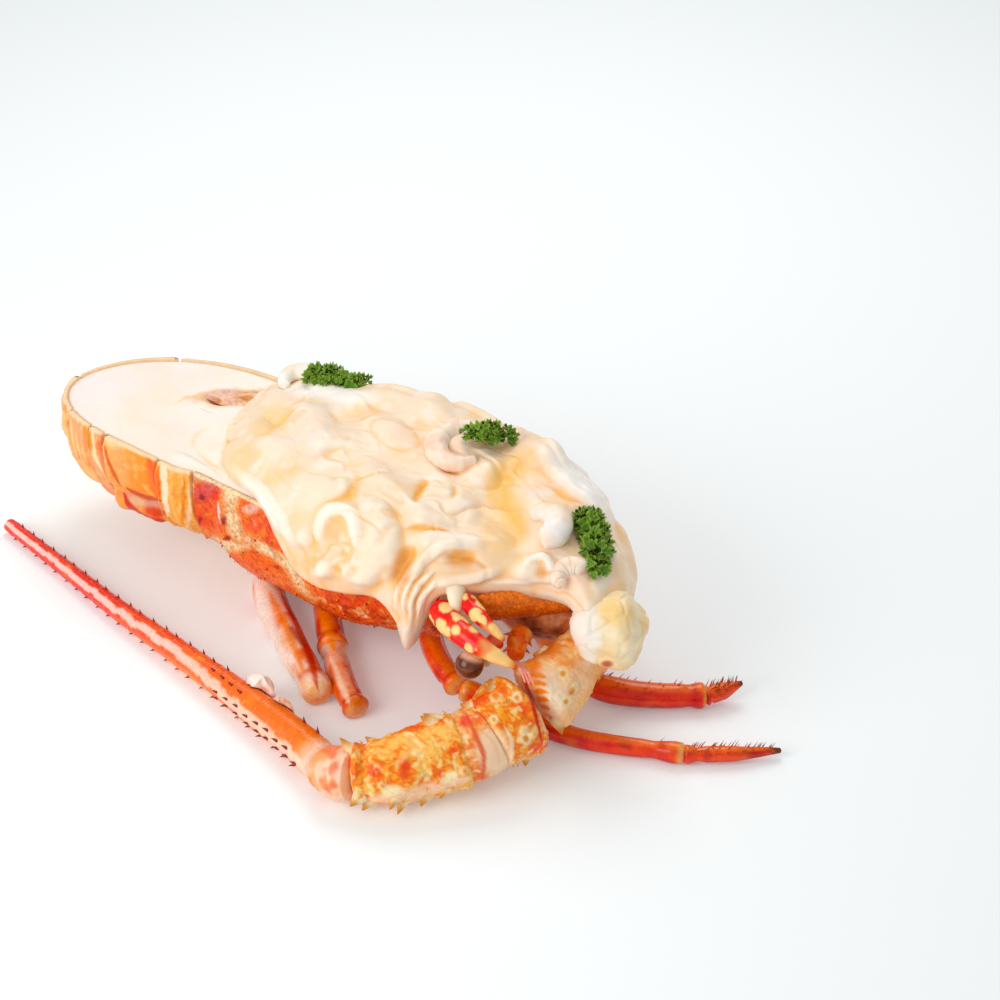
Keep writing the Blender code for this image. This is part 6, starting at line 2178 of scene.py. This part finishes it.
    def paint(self, grid: Array, height: Array, fold_shade: Array, pale: Array) -> Array:
        """Cream, with painted orange shade in the folds and a painted near-white highlight on the crests; a fold also
        shows as a point that lies low.

        Args:
            grid: the finished points.
            height: how far each lies above the plain dome.
            fold_shade: how much painted shade a fold gives.
            pale: how much painted highlight.

        Returns:
            The colours.
        """
        hollow = np.clip((settled(height, 16) - height) / 0.9, -1, 1)
        spots = self.lens.picture(grid)
        wide = Noise(230).layered(grid, 30, 3)
        colour = tint((252, 227, 202), (253, 210, 174), smooth(-0.3, 0.4, wide))
        warm = Noise(232).layered(grid + 5 * Noise(233).value(grid, 12)[..., None], 15, 3)
        colour = tint(colour, (252, 205, 150), 0.6 * smooth(0.08, 0.5, warm))
        colour = tint(colour, (253, 238, 226), 0.6 * smooth(0.05, 0.45, -Noise(234).layered(grid, 7, 3)))
        # Painted highlight on the crests, painted orange shade in the hollows and folds, and a painted near-white
        # highlight where the marks are pale.
        colour = tint(colour, (254, 240, 220), 0.6 * smooth(0.1, 0.7, -hollow))
        colour = tint(colour, (251, 202, 142), 0.75 * smooth(0.05, 0.8, hollow))
        colour = tint(colour, (250, 186, 104), 0.9 * smooth(0.18, 0.85, fold_shade))
        colour = tint(colour, (238, 150, 66), 0.8 * smooth(0.85, 1.3, fold_shade))
        colour = tint(colour, (254, 248, 240), 0.8 * np.clip(pale, 0, 1))
        # Ovals laid where they show in the picture: the sauce's own cream, yellow and pink, and painted shade and
        # highlights.
        for middle, radii, turn, shade, share in (
            ((503, 515), (26, 62), 0, (252, 200, 122), 0.5),
            ((514, 468), (34, 16), -25, (252, 202, 126), 0.55),
            ((272, 420), (24, 15), -30, (250, 208, 136), 0.5),
            # Painted brown shadows: in the broad fold by the large shrimp, under the arch fold and by the bottom curl.
            ((402, 568), (11, 24), 15, (214, 150, 90), 0.7),
            ((460, 560), (20, 11), 10, (232, 170, 112), 0.6),
            ((541, 573), (7, 9), 0, (238, 178, 116), 0.7),
            # A painted white highlight along the upper right rim.
            ((590, 470), (54, 32), 50, (254, 250, 246), 0.75),
            ((398, 433), (14, 10), 25, (253, 212, 186), 0.6),
            ((462, 445), (22, 14), 30, (253, 222, 202), 0.7),
            # Painted shade in the large shrimp's hole.
            ((334, 531), (9, 13), 0, (246, 190, 134), 0.7),
            ((368, 548), (20, 40), 0, (254, 226, 198), 0.4),
            # A painted white highlight along the top edge.
            ((330, 392), (60, 10), 8, (254, 250, 244), 0.8),
            ((578, 575), (22, 14), 0, (250, 205, 186), 0.5),
        ):
            inside = Mound(middle, radii, turn).share(spots)
            colour = tint(colour, shade, share * smooth(1.25, 0.35, inside))
        fleck = smooth(0.5, 0.75, Noise(231).layered(grid, 5, 3))
        return tint(colour, (250, 204, 168), 0.4 * fleck)


@dataclass(frozen=True)
class Curl:
    """One curled shrimp: where its coil lies, how far it winds, and how thick it is."""

    name: str
    node: str
    centre: Point
    coil: float
    body: float
    start: float
    sweep: float
    tilt: float
    white: float


@dataclass
class Shrimps(Maker):
    """The shrimps that show above the sauce, and the white chunk at the head end."""

    curls: tuple[Curl, ...] = (
        Curl("shrimp_by_tail", "shrimp_rear", (-80.5, 31, 69.5), 6, 3.8, 20, 250, 1, 0.9),
        Curl("shrimp_in_middle", "shrimp_middle", (18.5, 20, 82), 10.8, 5.2, 90, 250, 1.2, 0.1),
        Curl("shrimp_white", "shrimp_front", (72.5, 1, 77.5), 6.5, 5.6, -60, 230, 1.5, 0.85),
        Curl("shrimp_pink", "shrimp_end", (95, -9.5, 69.5), 5.4, 4.3, 60, 200, 1, 0.1),
    )
    chunk_middle: Point = (112, -6.5, 51)
    chunk_radii: Point = (14.5, 15, 14.5)

    def build(self) -> None:
        """Makes each shrimp and the chunk."""
        for number, curl in enumerate(self.curls):
            self.build_curl(curl, 250 + 5 * number)
        self.build_chunk()

    def build_curl(self, curl: Curl, seed: int) -> None:
        """A shrimp: a rod along an arc, faintly pinched between its segments under a coat of sauce.

        Args:
            curl: what to build.
            seed: the first of its noises.
        """
        angle = np.radians(curl.start + np.linspace(0, curl.sweep, 7))
        keys = np.column_stack([
            curl.centre[0] + curl.coil * np.cos(angle),
            curl.centre[1] + curl.coil * np.sin(angle),
            curl.centre[2] + curl.tilt * np.sin(angle),
        ])
        radii = tuple(curl.body * k for k in (0.75, 1, 1.02, 0.9, 0.7, 0.42))
        rod = Rod(tuple(map(tuple, keys)), radii, 90, 54)
        grid = rod.grid()
        segment = np.abs(np.sin(rod.share * math.pi * 5.5))[:, None]
        coat = smooth(-0.3, 0.3, Noise(seed + 3).layered(grid, 7, 2))
        swell = -0.4 * (1 - curl.white) * smooth(0.35, 0, segment) * (1 - 0.8 * coat)
        grid = rod.grid(swell + 0.35 * Noise(seed).layered(grid, 5, 3) + 0.2 * coat)
        band = smooth(0.5, 0.05, segment) * (1 - coat)
        pink = smooth(-0.15, 0.35, Noise(seed + 1).layered(grid, 5, 4))
        colour = tint((252, 230, 208), (250, 208, 178), pink * (1 - 0.6 * curl.white))
        colour = tint(colour, (247, 180, 134), 0.5 * band * (1 - curl.white))
        colour = tint(colour, (253, 246, 240), curl.white * smooth(0.3, -0.3, Noise(seed + 2).layered(grid, 8, 3)))
        self.kitchen.piece(curl.name, ring_body(grid, colour), COVER.shrimp, "shrimp_flesh", curl.node)

    def build_chunk(self) -> None:
        """The chunk: an egg shape with facets, torn fibres on its pale side and sauce on the other."""
        grid = ball_grid(self.chunk_middle, self.chunk_radii, 80, 120)
        normal = grid_normals(grid, True)
        way = unit(grid - np.array(self.chunk_middle))
        near, after, _ = Noise(280).cells(way * 3.2, 2)
        lift = 1.1 * np.sin(4 * way[..., 0] + 3 * way[..., 1]) + 0.7 * np.sin(7 * way[..., 2])
        lift = lift + 0.8 * Noise(281).layered(grid, 7, 4) - 0.5 * smooth(0.18, 0, after - near)
        grid = grid + normal * lift[..., None]
        spots = self.lens.picture(grid)
        face = self.lens.facing(grid, normal)
        white = smooth(606, 592, spots[..., 0] + 6 * Noise(282).value(grid, 5)) * face
        colour = tint((249, 216, 160), (252, 232, 196), smooth(-0.3, 0.4, Noise(283).layered(grid, 9, 3)))
        colour = tint(colour, (248, 236, 222), white)
        pool = Mound((612, 612), (20, 14), 20).share(spots)
        colour = tint(colour, (248, 204, 120), 0.7 * smooth(1.2, 0.4, pool) * face)
        speck = Mound((607, 664), (6, 3.5)).share(spots)
        colour = tint(colour, (190, 70, 20), 0.9 * smooth(1.4, 0.5, speck) * face)
        self.kitchen.piece("white_meat_chunk", ring_body(grid, colour), COVER.shrimp, "white_flesh", "white_chunk")


@dataclass(frozen=True)
class Sprig:
    """One sprig: its stalk, how many leaflets it has and how wide they spread."""

    name: str
    node: str
    stem: tuple[Point, ...]
    spread: float
    leaves: int
    seed: int


@dataclass
class Parsley(Maker):
    """Three sprigs of curly parsley."""

    sprigs: tuple[Sprig, ...] = (
        Sprig(
            "parsley_sprig_rear", "parsley_rear",
            ((-73.4, 33.8, 71.6), (-63.2, 37.6, 74), (-52.4, 39.8, 72.8)), 6, 90, 300,
        ),
        Sprig(
            "parsley_sprig_middle", "parsley_middle",
            ((22.5, 21.8, 88), (26.2, 26.4, 87.6), (29.7, 33.2, 84.8)), 5, 60, 310,
        ),
        Sprig(
            "parsley_sprig_front", "parsley_front",
            ((99.8, 1.3, 69.5), (91.3, 9.8, 73.5), (81.3, 17.8, 76)), 6.2, 110, 320,
        ),
    )

    def build(self) -> None:
        """Makes each sprig."""
        for sprig in self.sprigs:
            self.build_sprig(sprig)

    def build_sprig(self, sprig: Sprig) -> None:
        """A stalk with twigs, and a frilled leaflet at the end of each twig.

        Args:
            sprig: what to build.
        """
        rng = np.random.default_rng(sprig.seed)
        path = through(sprig.stem, 200)
        at = np.clip(rng.uniform(-0.02, 1.02, sprig.leaves), 0, 1)
        root = path[(at * 199).astype(int)]
        way = rng.normal(size=(sprig.leaves, 3)) * np.array((1, 1, 0.75))
        way[:, 2] = np.abs(way[:, 2]) * 0.9 - 0.15
        way = unit(way)
        reach = sprig.spread * rng.uniform(0.25, 1, sprig.leaves) ** 0.7
        tip = root + way * reach[:, None]
        size = rng.uniform(1.5, 2.7, sprig.leaves)
        leaves = self.leaflets(tip, unit(way + np.array((0, 0, 0.6))), size, rng)
        twig = spikes(root, way, reach * 1.05, np.full(sprig.leaves, 0.32), (120, 150, 40), (70, 120, 30), 5)
        stalk = Rod(sprig.stem, (0.8, 0.7, 0.6), 40, 12)
        part = Part.joined([ring_body(stalk.grid(), (126, 158, 60)), twig, leaves])
        self.kitchen.piece(sprig.name, part, COVER.leaf, "parsley_leaf", sprig.node)

    @staticmethod
    def leaflets(middle: Array, normal: Array, size: Array, rng: np.random.Generator) -> Part:
        """Thin closed discs with a lobed and strongly frilled rim, all worked out at once.

        Args:
            middle: the middle of each disc.
            normal: which way it looks.
            size: its radius.
            rng: the source of random numbers.

        Returns:
            One part that holds every leaflet.
        """
        sides = 22
        angle = np.linspace(0, 2 * math.pi, sides, endpoint=False)[None, None, :]
        share = np.array((0.3, 0.62, 0.88, 1))[None, :, None]
        phase = rng.uniform(0, 6.28, (len(middle), 1, 1))
        waves = rng.integers(5, 8, (len(middle), 1, 1))
        lobes = 1 + 0.22 * share * np.cos(3 * angle + phase) + 0.14 * share**2 * np.cos(9 * angle + 2 * phase)
        radius = size[:, None, None] * share * lobes
        frill = 0.42 * size[:, None, None] * share**1.6 * np.sin(waves * angle + phase)
        cup = 0.35 * size[:, None, None] * share**2
        side = unit(np.cross(normal, rng.normal(size=normal.shape)))
        other = np.cross(normal, side)
        flat = side[:, None, None, :] * (radius * np.cos(angle))[..., None]
        flat = flat + other[:, None, None, :] * (radius * np.sin(angle))[..., None]
        sheet = middle[:, None, None, :] + flat + normal[:, None, None, :] * (frill + cup)[..., None]
        half = 0.11 * normal[:, None, None, :] * np.array((1, 0.95, 0.75, 0.3))[None, :, None, None]
        rings = np.concatenate([sheet + half, (sheet - half)[:, ::-1]], axis=1)
        shares = np.concatenate([share[0, :, 0], share[0, ::-1, 0]])[None, :, None]
        dark = rng.uniform(0, 1, (len(middle), 1, 1))
        colour = tint((56, 102, 12), (128, 170, 36), dark * 0.7)
        colour = tint(colour, (176, 204, 72), 0.6 * smooth(0.75, 1, shares))
        return tubes(rings, colour)


# The studio


@dataclass
class Studio:
    """A lit pale table, soft light from above and behind, and the camera."""

    lens: Lens
    world_strength: float = 0.53
    table_glow: float = 0.14
    table_size: float = 6
    table_shade: tuple[float, ...] = (0.85, 0.885, 0.89, 1)
    light_shade: Point = (1, 0.975, 0.965)
    world_shade: tuple[float, ...] = (0.97, 1, 1.01, 1)

    def build(self) -> None:
        """Makes the floor, the lights, the world and the camera."""
        self.build_floor()
        self.build_world()
        self.build_light("key_light", (-260, 420, 760), (0, 0, 30), 520, 2.8)
        self.build_light("fill_light", (-120, -620, 420), (0, -20, 30), 500, 2.8)
        self.build_camera()

    def build_floor(self) -> None:
        """A large flat square just under the feet; it glows a little, as a light table does."""
        size = self.table_size
        mesh = bpy.data.meshes.new("floor")
        corners = [(-size, -size, 0), (size, -size, 0), (size, size, 0), (-size, size, 0)]
        mesh.from_pydata(corners, [], [(0, 1, 2, 3)])
        material = bpy.data.materials.new("pale_floor")
        material.use_nodes = True
        Wiring(material.node_tree).feed(material.node_tree.nodes["Principled BSDF"], {
            "Base Color": self.table_shade,
            "Roughness": 0.7,
            "Specular IOR Level": 0.2,
            "Emission Color": (1, 1, 1, 1),
            "Emission Strength": self.table_glow,
        })
        mesh.materials.append(material)
        floor = bpy.data.objects.new("floor", mesh)
        bpy.context.scene.collection.objects.link(floor)

    def build_world(self) -> None:
        """Even, slightly cool light from all round."""
        world = bpy.data.worlds.new("studio")
        world.use_nodes = True
        inputs = {"Color": self.world_shade, "Strength": self.world_strength}
        Wiring(world.node_tree).feed(world.node_tree.nodes["Background"], inputs)
        bpy.context.scene.world = world
        bpy.context.scene.view_settings.view_transform = "Standard"
        bpy.context.scene.view_settings.look = "None"

    def build_light(self, name: str, at: Point, aim: Point, size: float, watts: float) -> None:
        """A square soft light.

        Args:
            name: its name.
            at: where it hangs, in body millimetres.
            aim: the point it looks at.
            size: the length of its side.
            watts: its power.
        """
        light = bpy.data.lights.new(name, "AREA")
        light.shape = "SQUARE"
        light.size = size * MM
        light.energy = watts
        light.color = self.light_shade
        lamp = bpy.data.objects.new(name, light)
        back = unit(np.array(at) - np.array(aim))
        right = unit(np.cross(UP, back))
        lamp.matrix_world = self.placed(right, np.cross(back, right), back, (np.array(at) + BODY_SHIFT) * MM)
        bpy.context.scene.collection.objects.link(lamp)

    @staticmethod
    def placed(right: Array, up: Array, back: Array, place: Array) -> Matrix:
        """Three directions and a place as one transform."""
        rows = [[float(right[i]), float(up[i]), float(back[i]), float(place[i])] for i in range(3)]
        return Matrix([*rows, [0, 0, 0, 1]])

    def build_camera(self) -> None:
        """The camera at the picture's place and angle."""
        camera = bpy.data.cameras.new("camera")
        camera.lens = self.lens.focal
        camera.sensor_width = self.lens.sensor
        camera.clip_end = 50
        holder = bpy.data.objects.new("camera", camera)
        holder.matrix_world = self.placed(*self.lens.axes(), (self.lens.eye() + BODY_SHIFT) * MM)
        bpy.context.scene.collection.objects.link(holder)
        bpy.context.scene.camera = holder


def main() -> None:
    """Loads the frame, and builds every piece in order."""
    logging.basicConfig(level=logging.INFO, format="%(name)s %(message)s")
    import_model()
    form, lens, kitchen = BodyForm(), Lens(), Kitchen()
    for maker in (Meat, TailShell, ChestShell, Face, Antenna, Legs, Sauce, Shrimps, Parsley):
        LOG.info("building %s", maker.__name__)
        maker(kitchen, form, lens).build()
    LOG.info("%d triangles in all", kitchen.triangles)
    Studio(lens).build()


if __name__ == "__main__":
    main()
